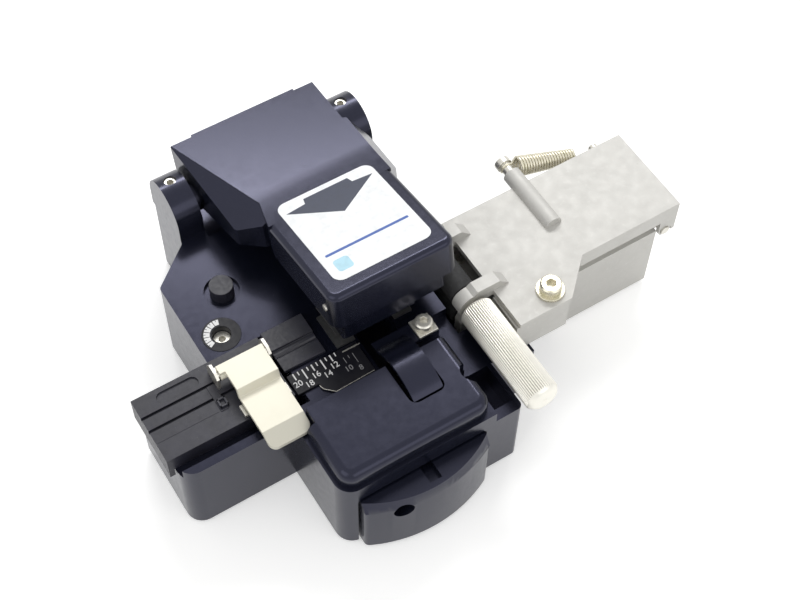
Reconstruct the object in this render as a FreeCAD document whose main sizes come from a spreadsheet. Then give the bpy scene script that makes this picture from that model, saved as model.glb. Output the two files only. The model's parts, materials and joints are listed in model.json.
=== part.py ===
import FreeCAD, Part
import math
import os
import re

import Sketcher
from FreeCAD import Rotation, Vector

# Optical fibre cleaver with a scrap collector on its right-hand side.
# Frame: X to the right, Y to the back, Z up; the origin lies in the middle of the
# rubber pad that the body rests on, and every length is in millimetres.
# The fibre lies along X under the lid; the blade wheel crosses it along Y.

doc = FreeCAD.newDocument("fibre_cleaver")

# ---------------------------------------------------------------- driving sizes

SIZES = {
    # body casting, seen from above
    "front_left": -20.0, "front_right": 19.5, "front_face": -39.0,
    "wing_left": -42.4, "wing_front": -20.2, "wing_back": -0.3,
    "side_left": -27.5, "side_right": 26.0, "shoulder_front": -28.0,
    "waist_start": 18.7, "waist_end": 26.0,
    "ledge_right": 30.0, "ledge_back": 2.0, "ledge_top": 15.0,
    "front_corner": 3.6, "wing_corner": 3.4, "small_corner": 1.2,
    # levels of the body
    "pad_thick": 1.0, "pad_inset": 2.0, "pad_front": -11.0,
    "body_top": 22.1, "wing_top": 21.0, "shelf_top": 19.2, "shelf_floor": 14.0,
    "shelf_left": 13.3, "shelf_back": -14.4, "shelf_wall": 2.2,
    # fibre line and blade plane
    "fibre_line": -7.3, "blade_plane": 4.9,
    # lid hinge at the back of the body
    "hinge_back": 32.8, "hinge_level": 25.7, "ear_radius": 6.3,
    "left_ear_outer": -18.75, "left_ear_inner": -13.4, "right_ear_inner": 20.0,
    "hinge_pin_radius": 1.5, "bay_floor": 16.7, "bay_front": 24.8,
    "ear_screw_radius": 1.3, "ear_screw_offset": 1.4, "ear_screw_sink": 0.9,
    "ear_skin": 0.8,
    # front deck cover
    "deck_top": 25.9, "deck_inset": 0.8, "deck_right": 13.0, "deck_back": -21.2,
    "deck_edge": 2.0, "deck_corner": 3.0,
    "notch_place": -30.2, "notch_radius": 2.4,
    # slider channel and blade slot
    "slot_left": -17.0, "slot_right": 11.3, "slot_top": 18.0, "slot_corner": 1.2,
    "channel_back": 18.6, "channel_floor": 3.0,
    "blade_slot_left": -0.3, "blade_slot_right": 7.3, "blade_slot_front": -31.0,
    "blade_slot_back": 10.0, "blade_slot_corner": 1.6, "blade_slot_relief": 1.6,
    # slider
    "slider_side_gap": 0.4, "handle_bottom": 1.4, "handle_top": 17.4,
    "handle_back": -36.0, "handle_side_front": -40.9, "handle_radius": 29.6,
    "handle_bevel_start": 15.0, "handle_top_front": -39.5, "handle_top_radius": 24.5,
    "handle_corner": 1.2, "grip_notch_left": -3.6, "grip_notch_width": 2.6,
    "grip_notch_front": -42.6, "grip_notch_depth": 1.4, "finger_hole_place": -9.7,
    "finger_hole_level": 13.8, "finger_hole_radius": 2.0, "finger_hole_depth": 4.0,
    "carriage_left": -14.5, "carriage_right": 8.6, "carriage_bottom": 3.6,
    "carriage_top": 14.6, "carriage_back": -6.0,
    "rod_radius": 1.5, "rod_level": 8.0, "rod_left": -10.0, "rod_right": 0.6,
    "rod_seat": 3.4, "rod_front": -11.4,
    # blade wheel, its axle and its holder
    "blade_radius": 8.0, "blade_thick": 1.4, "blade_place": -23.6, "blade_bevel": 1.4,
    "axle_radius": 1.2, "cheek_gap": 0.4, "cheek_thick": 1.5, "cheek_radius": 3.0,
    "blade_gap": 0.5, "pinch_gap": 0.3,
    # arched guard over the blade
    "guard_left": 0.3, "guard_right": 6.8, "guard_thick": 0.9, "guard_radius": 10.4,
    "guard_front_drop": 0.4, "guard_front": -30.4,
    "guard_back": -16.8, "guard_tab_front": -19.2, "guard_tab_back": -15.2,
    "guard_tab_right": 13.0, "guard_tab_thick": 0.7, "guard_tab_bottom": 24.4,
    "boss_left": 8.2,
    "square_side": 4.2, "square_thick": 0.6, "square_place": 10.7,
    "deck_screw_radius": 0.9, "deck_screw_head": 1.8, "deck_screw_head_tall": 1.7,
    "deck_screw_long": 3.6, "deck_socket": 0.85, "socket_edge": 0.3,
    "socket_deep": 1.2, "ear_socket": 0.75, "dial_socket": 0.75,
    # ruler, adapter plate and fibre guide
    "ruler_left": -16.4, "ruler_right": -1.2, "ruler_back": -11.8,
    "ruler_step_front": -16.4, "ruler_step": -11.9, "ruler_notch": 1.0,
    "ruler_slant": 2.0, "ruler_front": -19.5, "ruler_thick": 0.5,
    "adapter_over": 1.3, "adapter_right": -16.8, "adapter_front": -16.0,
    "adapter_back": -1.2, "adapter_top": 22.5, "adapter_bottom": 18.5,
    "adapter_lip_bottom": 16.4, "adapter_lip_gap": 0.2,
    "seat_front": -18.4, "seat_back": -1.1, "seat_right": -15.0,
    "groove_wide": 0.6, "groove_deep": 0.7, "groove_spread": 1.55,
    "recess_length": 8.6, "recess_wide": 2.6, "recess_deep": 0.35, "recess_inset": 4.3,
    "recess_along": -3.6,
    "guide_left": -16.2, "guide_right": -7.2, "guide_front": -10.8, "guide_back": -1.4,
    "guide_top": 23.5, "guide_step": -6.0, "guide_step_top": 22.9, "channel_half": 0.4,
    # fibre clamp on the left, bent from sheet
    "clamp_left": -26.5, "clamp_right": -17.75, "clamp_ear": 1.1, "clamp_ear_long": 1.9,
    "clamp_step_back": -11.7, "clamp_step_front": -12.4, "clamp_knee": -21.0,
    "clamp_tip": -24.4, "clamp_high": 26.8, "clamp_low": 24.9, "clamp_tip_top": 23.5,
    "clamp_thick": 0.9, "clamp_hinge_back": -6.4, "clamp_hinge_level": 25.5,
    "clamp_pin_radius": 0.6, "clamp_knuckle": 1.2, "clamp_tip_corner": 1.6,
    "lug_thick": 0.6, "lug_front": -7.5, "lug_back": -3.2, "lug_strip_front": -5.2,
    "lug_strip_thick": 0.5, "lug_top": 1.1, "pad_side": 0.7, "clamp_pad_front": -10.6,
    "clamp_pad_back": -8.0, "keeper_front": -15.5, "keeper_back": -13.0,
    "keeper_over": 0.6, "keeper_thick": 0.8,
    # button and dial on the left shoulder
    "button_across": -17.4, "button_along": 11.9, "button_radius": 2.4,
    "button_top": 24.3, "button_flange": 0.5, "button_flange_thick": 0.8,
    "button_rest": 19.3, "button_well": 1.2, "button_well_deep": 0.8,
    "dial_across": -22.2, "dial_along": 3.1, "dial_radius": 3.85, "dial_thick": 1.6,
    "dial_screw_radius": 1.8, "dial_screw_long": 6.0, "dial_screw_sink": 1.6,
    "dial_float": 0.3, "dial_proud": 0.1,
    # fibre clamp blocks under the lid
    "seat_gap": 0.6, "seat_wide": 4.0, "seat_long": 8.0, "seat_sunk": 1.5,
    "lower_pad_thick": 0.5, "upper_pad_thick": 0.4,
    "anvil_wide": 1.6, "anvil_thick": 0.3,
    # lid
    "lid_ready": 5.0, "lid_wedge": 6.1,
    "lid_front": 47.8, "lid_left": -6.7, "lid_right": 20.4, "lid_back": 5.6,
    "lid_shoulder_left": -12.8, "lid_shoulder_right": 23.9, "lid_neck_right": 19.6,
    "lid_shoulder_taper": 1.9, "lid_jog_front": 24.2, "lid_jog_back": 19.6,
    "lid_left_jog_front": 20.9, "lid_left_jog_back": 17.0, "lid_neck_front": 7.0,
    "lid_neck_slant": 2.0, "lid_bottom": -0.9, "lid_top": 7.2, "lid_rear_top": 9.9,
    "lid_bend_place": 19.2, "lid_bend": 5.0, "flank_left": -5.1, "flank_start": 17.6,
    "flank_left_fall": 0.77, "flank_right_fall": 1.5, "lid_step": 0.5,
    "lid_step_left": -8.0, "lid_step_right": 15.3,
    "lid_wall": 1.6, "lid_corner": 2.4, "lid_edge": 1.3,
    "lid_barrel": 3.2, "lid_small_corner": 1.6,
    "spring_bay_left": -2.0, "spring_bay_right": 6.0, "spring_bay_radius": 4.4,
    "block_side_inset": 2.35, "block_front": 46.2, "block_back": 33.6,
    "block_pin_back": 45.0, "block_pin_level": 3.2, "block_pin_radius": 0.7,
    "block_pin_proud": 0.3, "block_chamfer": 1.2, "block_step_left": 11.0,
    "block_corner": 1.0, "block_step_tall": 1.0, "block_step_deep": 1.8,
    # scrap collector: bin, tray and its bracket
    "bin_left": 42.0, "bin_right": 66.2, "bin_front": -19.0, "bin_back": 1.0,
    "bin_bottom": 0.8, "bin_rim": 23.4, "bin_wall": 1.3, "bin_shoulder": 18.2,
    "bin_step": 0.9, "tray_left": 26.4, "tray_front": -26.2, "tray_slant": 7.6,
    "tray_short": 3.2,
    # collector lid
    "cover_left": 26.8, "cover_right": 70.6, "cover_thick": 1.3, "cover_gap": 0.3,
    "cover_over": 0.4, "cover_skirt": 2.8, "cover_flange": 0.8,
    "cover_hinge_across": 68.0, "cover_hinge_level": 17.8, "cover_pin_radius": 1.0,
    "cover_lug": 1.5,
    "rib_place": 45.7, "rib_radius": 1.9, "rib_front": -10.5, "rib_back": 4.4,
    "rib_pin_radius": 1.2, "rib_pin_deep": 2.0, "rib_pin_long": 3.8, "rib_pin_cap": 1.4,
    "rib_pin_head": 1.7,
    "cover_screw_across": 36.2, "cover_screw_along": -22.9,
    "cover_screw_head": 2.2, "cover_screw_tall": 1.9, "cover_washer": 2.9,
    "cover_washer_thick": 0.6, "cover_screw_radius": 1.2, "cover_socket": 1.1,
    "lug_inset": 0.8, "lug_wide": 3.0, "cover_pin_proud": 0.4, "cover_pin_tail": 4.6,
    "bracket_inset": 4.0, "bracket_screw_radius": 0.9, "bracket_screw_head": 1.2,
    "bracket_screw_tall": 0.8, "bracket_screw_bite": 3.0,
    # feed rollers and knob
    "roller_across": 22.0, "feed_level": 23.5, "roller_radius": 2.85,
    "roller_nip": 0.3, "roller_front": -14.2, "roller_back": -4.1,
    "shaft_radius": 1.0, "arm_wide": 2.7, "arm_gap": 0.35, "arm_right": 30.4,
    "arm_end_radius": 3.0, "arm_rise": 2.3,
    "post_wide": 4.0, "post_thick": 2.2, "pocket_left": 17.8, "pocket_floor": 13.5,
    "pocket_front": -19.0, "pocket_back": 1.4,
    "knob_radius": 3.6, "knob_length": 23.6, "knob_gap": 1.0, "knob_chamfer": 1.1,
    "knob_bore": 18.0,
    "shaft_end": 0.6,
    # running clearances
    "fit": 0.05, "gap": 0.3,
}

sheet = doc.addObject("Spreadsheet::Sheet", "Sizes")
for row, (alias, value) in enumerate(SIZES.items(), start=1):
    sheet.set("A%d" % row, alias)
    sheet.set("B%d" % row, str(value))
    sheet.setAlias("B%d" % row, alias)
doc.recompute()


# ------------------------------------------------------------ parametric helpers

NEAR = 1e-4

def linked(text):
    """The text with each size's name written as a link to the sheet."""
    return re.sub(r"[a-z]\w+", lambda word: "Sizes." + word[0] if word[0] in SIZES else word[0], text)


def value_of(text):
    return float(sheet.evalExpression(text))


def bind(thing, prop, text):
    thing.setExpression(prop, linked(str(text)))


def place(thing, across="0", along="0", up="0"):
    bind(thing, "Placement.Base.x", across)
    bind(thing, "Placement.Base.y", along)
    bind(thing, "Placement.Base.z", up)
    return thing


AXIS_TURN = {
    "X": Rotation(Vector(0, 1, 0), 90),
    "Y": Rotation(Vector(1, 0, 0), -90),
    "Z": Rotation(),
}


def rod(name, axis, first, second, start, stop, radius):
    """Cylinder along an axis; first and second are its centre on the other two axes."""
    solid = doc.addObject("Part::Cylinder", name)
    solid.Placement = FreeCAD.Placement(Vector(), AXIS_TURN[axis])
    bind(solid, "Radius", radius)
    bind(solid, "Height", "(%s) - (%s)" % (stop, start))
    spots = {"X": (start, first, second), "Y": (first, start, second), "Z": (first, second, start)}
    return place(solid, *spots[axis])


def block(name, left, right, front, back, low, high):
    solid = doc.addObject("Part::Box", name)
    bind(solid, "Length", "(%s) - (%s)" % (right, left))
    bind(solid, "Width", "(%s) - (%s)" % (back, front))
    bind(solid, "Height", "(%s) - (%s)" % (high, low))
    return place(solid, left, front, low)


def fused(name, *pieces):
    solid = doc.addObject("Part::MultiFuse", name)
    solid.Shapes = list(pieces)
    solid.Refine = True
    return solid


def cut(name, base, *tools):
    solid = doc.addObject("Part::Cut", name)
    solid.Base = base
    solid.Tool = tools[0] if len(tools) == 1 else fused(name + "_tools", *tools)
    solid.Refine = True
    return solid


def common(name, first, second):
    solid = doc.addObject("Part::Common", name)
    solid.Base = first
    solid.Tool = second
    return solid


def group(name, *pieces):
    """Separate solids of the same kind that share one node."""
    solid = doc.addObject("Part::Compound", name)
    solid.Links = list(pieces)
    return solid


def arc_centre(start, end, radius):
    """Centre of the arc from start to end; a positive radius bulges to its right."""
    chord = end - start
    half = chord.Length / 2
    reach = math.sqrt(max(radius * radius - half * half, 0.0))
    side = Vector(-chord.y, chord.x, 0).normalize()
    return start + chord * 0.5 + side * (reach if radius > 0 else -reach)


def add_outline(sketch, corners):
    """Closed outline: corners are (x, y), or (x, y, radius) where an arc leads to the corner."""
    spots = [Vector(value_of(corner[0]), value_of(corner[1]), 0) for corner in corners]
    first = sketch.GeometryCount
    count = len(corners)
    ends = []
    for index in range(count):
        following = (index + 1) % count
        start, end = spots[index], spots[following]
        if len(corners[following]) == 2:
            sketch.addGeometry(Part.LineSegment(start, end), False)
            ends.append((1, 2))
            continue
        radius = value_of(corners[following][2])
        centre = arc_centre(start, end, radius)
        circle = Part.Circle(centre, Vector(0, 0, 1), abs(radius))
        from_end, to_end = (start, end) if radius > 0 else (end, start)
        arc = Part.ArcOfCircle(circle, circle.parameter(from_end), circle.parameter(to_end))
        sketch.addGeometry(arc, False)
        ends.append((1, 2) if radius > 0 else (2, 1))
    for index in range(count):
        following = (index + 1) % count
        sketch.addConstraint(Sketcher.Constraint(
            "Coincident", first + index, ends[index][1], first + following, ends[following][0]))
    for index, corner in enumerate(corners):
        for kind, text in (("DistanceX", corner[0]), ("DistanceY", corner[1])):
            held = Sketcher.Constraint(kind, -1, 1, first + index, ends[index][0], value_of(text))
            number = sketch.addConstraint(held)
            bind(sketch, "Constraints[%d]" % number, text)
        if len(corner) == 3:
            arc = first + (index - 1) % count
            radius = abs(value_of(corner[2]))
            if abs((spots[index] - spots[index - 1]).Length - 2 * radius) < NEAR:
                sketch.addConstraint(Sketcher.Constraint("Symmetric", arc, 1, arc, 2, arc, 3))
            else:
                number = sketch.addConstraint(Sketcher.Constraint("Radius", arc, radius))
                bind(sketch, "Constraints[%d]" % number, "abs(%s)" % corner[2])


def add_circle(sketch, across, along, radius):
    spot = Vector(value_of(across), value_of(along), 0)
    index = sketch.addGeometry(Part.Circle(spot, Vector(0, 0, 1), value_of(radius)), False)
    constraints = (("DistanceX", across, spot.x), ("DistanceY", along, spot.y))
    for kind, text, number in constraints:
        held = sketch.addConstraint(Sketcher.Constraint(kind, -1, 1, index, 3, number))
        bind(sketch, "Constraints[%d]" % held, text)
    held = sketch.addConstraint(Sketcher.Constraint("Radius", index, value_of(radius)))
    bind(sketch, "Constraints[%d]" % held, radius)


class Piece:
    """A PartDesign body built from pads, pockets, revolves, fillets and chamfers."""

    def __init__(self, label):
        self.label = label
        self.body = doc.addObject("PartDesign::Body", label)
        self.steps = 0

    def sketch(self, plane, offset, outlines=(), circles=()):
        self.steps += 1
        made = self.body.newObject("Sketcher::SketchObject", "%s_outline_%d" % (self.label, self.steps))
        role = plane + "_Plane"
        made.AttachmentSupport = (self.origin(role), [""])
        made.MapMode = "FlatFace"
        bind(made, "AttachmentOffset.Base.z", offset)
        for outline in outlines:
            add_outline(made, outline)
        for circle in circles:
            add_circle(made, *circle)
        return made

    def origin(self, role):
        return [item for item in self.body.Origin.OriginFeatures if item.Role == role][0]

    def pad(self, plane, start, stop, outlines=(), circles=()):
        """Pad between two stations along the plane's axis (X for YZ, Y for XZ, Z for XY)."""
        offset = "-(%s)" % stop if plane == "XZ" else start
        made = self.sketch(plane, offset, outlines, circles)
        pad = self.body.newObject("PartDesign::Pad", "%s_pad_%d" % (self.label, self.steps))
        pad.Profile = made
        bind(pad, "Length", "(%s) - (%s)" % (stop, start))
        return self

    def pocket(self, plane, start, stop, outlines=(), circles=()):
        offset = "-(%s)" % start if plane == "XZ" else stop
        made = self.sketch(plane, offset, outlines, circles)
        doc.recompute()
        before = self.body.Shape.Volume
        pocket = self.body.newObject("PartDesign::Pocket", "%s_pocket_%d" % (self.label, self.steps))
        pocket.Profile = made
        bind(pocket, "Length", "(%s) - (%s)" % (stop, start))
        doc.recompute()
        if self.body.Shape.Volume > before - 1e-6:
            raise ValueError("a pocket cut nothing: " + pocket.Name)
        return self

    def loft(self, start, stop, lower, upper):
        """Straight-sided change from one outline to another, both level."""
        low, high = self.sketch("XY", start, [lower]), self.sketch("XY", stop, [upper])
        made = self.body.newObject("PartDesign::AdditiveLoft", "%s_loft_%d" % (self.label, self.steps))
        made.Profile = low
        made.Sections = [high]
        made.Ruled = True
        return self

    def revolve(self, outline):
        """Full turn of an outline in the XZ plane about the body's own Z axis."""
        made = self.sketch("XZ", "0", [outline])
        turn = self.body.newObject("PartDesign::Revolution", "%s_turn_%d" % (self.label, self.steps))
        turn.Profile = made
        turn.ReferenceAxis = (made, ["V_Axis"])
        turn.Angle = 360
        return self

    def edges(self, chosen):
        doc.recompute()
        names = ["Edge%d" % (i + 1) for i, edge in enumerate(self.body.Shape.Edges) if chosen(edge)]
        if not names:
            raise ValueError("no edge chosen on " + self.label)
        return names

    def dress(self, kind, prop, size, chosen):
        names = self.edges(chosen)
        self.steps += 1
        tip = self.body.Tip
        made = self.body.newObject("PartDesign::" + kind, "%s_%s_%d" % (self.label, kind.lower(), self.steps))
        made.Base = (tip, names)
        bind(made, prop, size)
        return self

    def fillet(self, radius, chosen):
        return self.dress("Fillet", "Radius", radius, chosen)

    def chamfer(self, size, chosen):
        return self.dress("Chamfer", "Size", size, chosen)

    def at(self, across="0", along="0", up="0", axis="Z"):
        self.body.Placement = FreeCAD.Placement(Vector(), AXIS_TURN[axis])
        place(self.body, across, along, up)
        return self


def upright_at(*spots):
    """Chooses the edges that rise, straight or a little leaning, from the given places."""
    marks = [Vector(value_of(across), value_of(along), 0) for across, along in spots]

    def chosen(edge):
        box = edge.BoundBox
        if box.ZLength < NEAR or max(box.XLength, box.YLength) > box.ZLength / 8:
            return False
        foot = min((vertex.Point for vertex in edge.Vertexes), key=lambda point: point.z)
        return any((Vector(foot.x, foot.y, 0) - mark).Length < 0.01 for mark in marks)
    return chosen


def rectangle(left, right, front, back):
    return [(left, front), (right, front), (right, back), (left, back)]


def hexagon(reach):
    return [("%s * cos(60 deg * %d)" % (reach, corner), "%s * sin(60 deg * %d)" % (reach, corner))
            for corner in range(6)]


def at_level(level, keep=lambda edge: True):
    """Chooses the edges that lie flat at one level."""
    mark = value_of(level)

    def chosen(edge):
        box = edge.BoundBox
        return abs(box.ZMin - mark) < 0.01 and abs(box.ZMax - mark) < 0.01 and keep(edge)
    return chosen


# ------------------------------------------------------------------ the body

BACK_FACE = "hinge_back + ear_radius"
EAR_MIDDLES = ("(left_ear_outer + left_ear_inner) / 2", "(right_ear_inner + side_right) / 2")
GUARD_MIDDLE = "(guard_tab_front + guard_tab_back) / 2"
BODY_OUTLINE = [
    ("front_left", "front_face"), ("front_right", "front_face"),
    ("front_right", "shoulder_front"), ("side_right", "shoulder_front"),
    ("side_right", BACK_FACE), ("left_ear_outer", BACK_FACE), ("left_ear_outer", "waist_end"),
    ("side_left", "waist_start"), ("side_left", "wing_back"),
    ("wing_left", "wing_back"), ("wing_left", "wing_front"), ("front_left", "wing_front"),
]
SLIDER_OPENING = [
    ("slot_left", "channel_floor"), ("slot_right", "channel_floor"),
    ("slot_right", "slot_top - slot_corner"),
    ("slot_right - slot_corner", "slot_top", "slot_corner"),
    ("slot_left + slot_corner", "slot_top"),
    ("slot_left", "slot_top - slot_corner", "slot_corner"),
]
LEFT_SEAT = ("blade_slot_left - seat_gap - seat_wide", "blade_slot_left - seat_gap")
RIGHT_SEAT = ("blade_slot_right + seat_gap", "blade_slot_right + seat_gap + seat_wide")
SEAT_ALONG = ("fibre_line - seat_long / 2", "fibre_line + seat_long / 2")
BRACKET_SPOTS = [("tray_left + bin_wall + bracket_screw_head + fit", along)
                 for along in ("tray_front + bracket_inset", "bin_back - bracket_inset")]
BRACKET_HOLES = [spot + ("bracket_screw_radius",) for spot in BRACKET_SPOTS]


def ear_outline():
    return [
        ("hinge_back - ear_radius", "body_top - 1"), (BACK_FACE, "body_top - 1"),
        (BACK_FACE, "hinge_level"), ("hinge_back - ear_radius", "hinge_level", "ear_radius"),
    ]


def base_housing():
    part = Piece("base_housing")
    part.pad("XY", "pad_thick", "body_top", [BODY_OUTLINE])
    part.fillet("front_corner", upright_at(("front_left", "front_face")))
    part.fillet("wing_corner", upright_at(("wing_left", "wing_front")))
    part.fillet("small_corner", upright_at(
        ("front_right", "front_face"), ("side_left", "waist_start"), ("side_right", BACK_FACE),
        ("left_ear_outer", BACK_FACE), ("left_ear_outer", "waist_end")))
    ledge = rectangle("side_right", "ledge_right", "shoulder_front", "ledge_back")
    part.pad("XY", "pad_thick", "ledge_top", [ledge])
    part.pad("YZ", "left_ear_outer", "left_ear_inner", [ear_outline()])
    part.pad("YZ", "right_ear_inner", "side_right", [ear_outline()])
    boss = rectangle("boss_left", "guard_tab_right", "guard_tab_front", "guard_tab_back")
    part.pad("XY", "body_top", "guard_tab_bottom", [boss])
    bay = rectangle("left_ear_inner", "right_ear_inner", "bay_front", BACK_FACE + " + 1")
    part.pocket("XY", "bay_floor", "body_top + 1", [bay])
    lip = rectangle("wing_left - 1", "front_left", "wing_front - 1", "seat_front")
    part.pocket("XY", "wing_top", "body_top + 1", [lip])
    seat = [
        ("wing_left - 1", "seat_front"), ("seat_right", "seat_front"), ("seat_right", "seat_back"),
        ("side_left", "seat_back"), ("side_left", "wing_back + 1"), ("wing_left - 1", "wing_back + 1"),
    ]
    part.pocket("XY", "adapter_bottom", "body_top + 1", [seat])
    shelf = rectangle("shelf_left", "side_right + 1", "front_face - 1", "shelf_back")
    part.pocket("XY", "shelf_top", "body_top + 1", [shelf])
    well = rectangle("shelf_left + 1", "front_right - 1", "front_face + shelf_wall", "shoulder_front")
    part.pocket("XY", "shelf_floor", "shelf_top + 1", [well])
    rollers = rectangle("pocket_left", "side_right", "pocket_front", "pocket_back")
    part.pocket("XY", "pocket_floor", "body_top + 1", [rollers])
    part.pocket("XZ", "front_face - 1", "channel_back", [SLIDER_OPENING])
    underside = rectangle("slot_left", "slot_right", "front_face - 1", "rod_front")
    part.pocket("XY", "0", "channel_floor + 1", [underside])
    under_deck = rectangle("blade_slot_left", "blade_slot_right", "blade_slot_front - blade_slot_relief", "blade_slot_back")
    part.pocket("XY", "slot_top - 1", "body_top + 1", [under_deck])
    part.pocket("XY", "shelf_floor", "body_top + 1", circles=[("shelf_left", "notch_place", "notch_radius")])
    for left, right in (LEFT_SEAT, RIGHT_SEAT):
        part.pocket("XY", "body_top - seat_sunk", "body_top + 1", [rectangle(left, right, *SEAT_ALONG)])
    button = ("button_across", "button_along")
    flange = "button_radius + button_flange + fit"
    part.pocket("XY", "body_top - button_well_deep", "body_top + 1", circles=[button + ("button_radius + button_well",)])
    part.pocket("XY", "slot_top - 2", "body_top + 1", circles=[button + ("button_radius + fit",)])
    part.pocket("XY", "slot_top - 2", "button_rest + button_flange_thick + fit", circles=[button + (flange,)])
    dial = ("dial_across", "dial_along")
    part.pocket("XY", "body_top - dial_thick", "body_top + 1", circles=[dial + ("dial_radius",)])
    part.pocket("XY", "body_top - dial_screw_long", "body_top + 1", circles=[dial + ("dial_screw_radius + fit",)])
    rods = [(across, "rod_level", "rod_radius") for across in ("rod_left", "rod_right")]
    part.pocket("XZ", "channel_back", "channel_back + rod_seat", circles=rods)
    pin = [("hinge_back", "hinge_level", "hinge_pin_radius")]
    part.pocket("YZ", "left_ear_outer + ear_skin", "left_ear_inner", circles=pin)
    part.pocket("YZ", "right_ear_inner", "side_right - ear_skin", circles=pin)
    screws = [(across, "hinge_back + ear_screw_offset", "ear_screw_radius") for across in EAR_MIDDLES]
    part.pocket("XY", "hinge_level", "hinge_level + ear_radius + 1", circles=screws)
    part.pocket("XY", "guard_tab_bottom - deck_screw_long", "guard_tab_bottom + 1",
                circles=[("square_place", GUARD_MIDDLE, "deck_screw_radius")])
    part.pocket("XY", "ledge_top - bracket_screw_bite", "ledge_top + 1", circles=BRACKET_HOLES)
    return part


def base_pad():
    """Rubber sheet under the body, behind the slider's opening."""
    part = Piece("base_pad")
    outline = [
        ("wing_left + pad_inset", "wing_front + pad_inset"), ("slot_left - pad_inset", "wing_front + pad_inset"),
        ("slot_left - pad_inset", "pad_front"), ("ledge_right - pad_inset", "pad_front"),
        ("ledge_right - pad_inset", "ledge_back - pad_inset"), ("side_right - pad_inset", "ledge_back - pad_inset"),
        ("side_right - pad_inset", BACK_FACE + " - pad_inset"),
        ("left_ear_outer + pad_inset", BACK_FACE + " - pad_inset"),
        ("left_ear_outer + pad_inset", "waist_end - pad_inset"),
        ("side_left + pad_inset", "waist_start - pad_inset"), ("side_left + pad_inset", "wing_back - pad_inset"),
        ("wing_left + pad_inset", "wing_back - pad_inset"),
    ]
    return part.pad("XY", "0", "pad_thick", [outline])


def front_deck():
    part = Piece("front_deck")
    left, front = "front_left + deck_inset", "front_face + deck_inset"
    part.pad("XY", "body_top", "deck_top", [rectangle(left, "deck_right", front, "deck_back")])
    part.fillet("deck_corner", upright_at((left, front), ("deck_right", front)))
    back = value_of("deck_back")
    part.fillet("deck_edge", at_level("deck_top", lambda edge: edge.BoundBox.YMin < back - NEAR))
    slot = [
        ("blade_slot_left + blade_slot_corner", "blade_slot_front", "blade_slot_corner"),
        ("blade_slot_right - blade_slot_corner", "blade_slot_front"),
        ("blade_slot_right", "blade_slot_front + blade_slot_corner", "blade_slot_corner"),
        ("blade_slot_right", "deck_back + 1"), ("blade_slot_left", "deck_back + 1"),
        ("blade_slot_left", "blade_slot_front + blade_slot_corner"),
    ]
    part.pocket("XY", "body_top - 1", "deck_top + 1", [slot])
    notch = [("shelf_left", "notch_place", "notch_radius")]
    part.pocket("XY", "body_top - 1", "deck_top + 1", circles=notch)
    clamp_room = rectangle(left + " - 1", "clamp_right + gap", "clamp_tip - gap", "deck_back + 1")
    return part.pocket("XY", "body_top - 1", "deck_top + 1", [clamp_room])


def blade_guard():
    """Arched sheet over the blade wheel, held by a tab under the square washer."""
    part = Piece("blade_guard")
    front_top = "deck_top - guard_front_drop"
    back_top = "guard_tab_bottom + guard_tab_thick"
    arch = [
        ("guard_front", front_top + " - guard_thick"), ("guard_back", back_top + " - guard_thick", "-guard_radius"),
        ("guard_back", back_top), ("guard_front", front_top, "guard_radius"),
    ]
    part.pad("YZ", "guard_left", "guard_right", [arch])
    inner = "guard_right - guard_thick"
    tab = [
        ("guard_left", "guard_back - guard_thick"), (inner, "guard_back - guard_thick"), (inner, "guard_tab_front"),
        ("guard_tab_right", "guard_tab_front"), ("guard_tab_right", "guard_tab_back"), ("guard_left", "guard_tab_back"),
    ]
    part.pad("XY", "guard_tab_bottom", back_top, [tab])
    hole = [("square_place", GUARD_MIDDLE, "deck_screw_radius")]
    return part.pocket("XY", "guard_tab_bottom - 1", back_top + " + 0.5", circles=hole)


def square_washer():
    half = "square_side / 2"
    low = "guard_tab_bottom + guard_tab_thick"
    part = Piece("square_washer")
    outline = rectangle("square_place - " + half, "square_place + " + half,
                        GUARD_MIDDLE + " - " + half, GUARD_MIDDLE + " + " + half)
    return part.pad("XY", low, low + " + square_thick", [outline], [("square_place", GUARD_MIDDLE, "deck_screw_radius")])


def socket_screw(label, radius, head, head_tall, length, socket):
    """Cap screw with its head's underside at the body's own XY plane."""
    part = Piece(label)
    part.revolve([
        ("0", "-(%s)" % length), (radius, "-(%s)" % length), (radius, "0"), (head, "0"),
        (head, head_tall + " - socket_edge"), (head + " - socket_edge", head_tall), ("0", head_tall),
    ])
    return part.pocket("XY", head_tall + " * 0.4", head_tall + " + 0.5", [hexagon(socket)])


def set_screw(label, radius, length, socket):
    """Headless screw with its top at the body's own XY plane."""
    part = Piece(label)
    part.pad("XY", "-(%s)" % length, "0", circles=[("0", "0", radius)])
    return part.pocket("XY", "-socket_deep", "0.5", [hexagon(socket)])


def deck_screw():
    part = socket_screw("deck_screw", "deck_screw_radius", "deck_screw_head", "deck_screw_head_tall",
                        "deck_screw_long + guard_tab_thick + square_thick", "deck_socket")
    return part.at("square_place", GUARD_MIDDLE, "guard_tab_bottom + guard_tab_thick + square_thick")


def ear_set_screws():
    screws = []
    for side, across in zip(("left", "right"), EAR_MIDDLES):
        length = "ear_radius - ear_screw_sink - hinge_pin_radius"
        screw = set_screw("ear_screw_" + side, "ear_screw_radius", length, "ear_socket")
        screw.at(across, "hinge_back + ear_screw_offset", "hinge_level + ear_radius - ear_screw_sink")
        screws.append(screw.body)
    return group("ear_set_screws", *screws)


def hinge_pin():
    return rod("hinge_pin", "X", "hinge_back", "hinge_level",
               "left_ear_outer + ear_skin", "side_right - ear_skin", "hinge_pin_radius")


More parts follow.
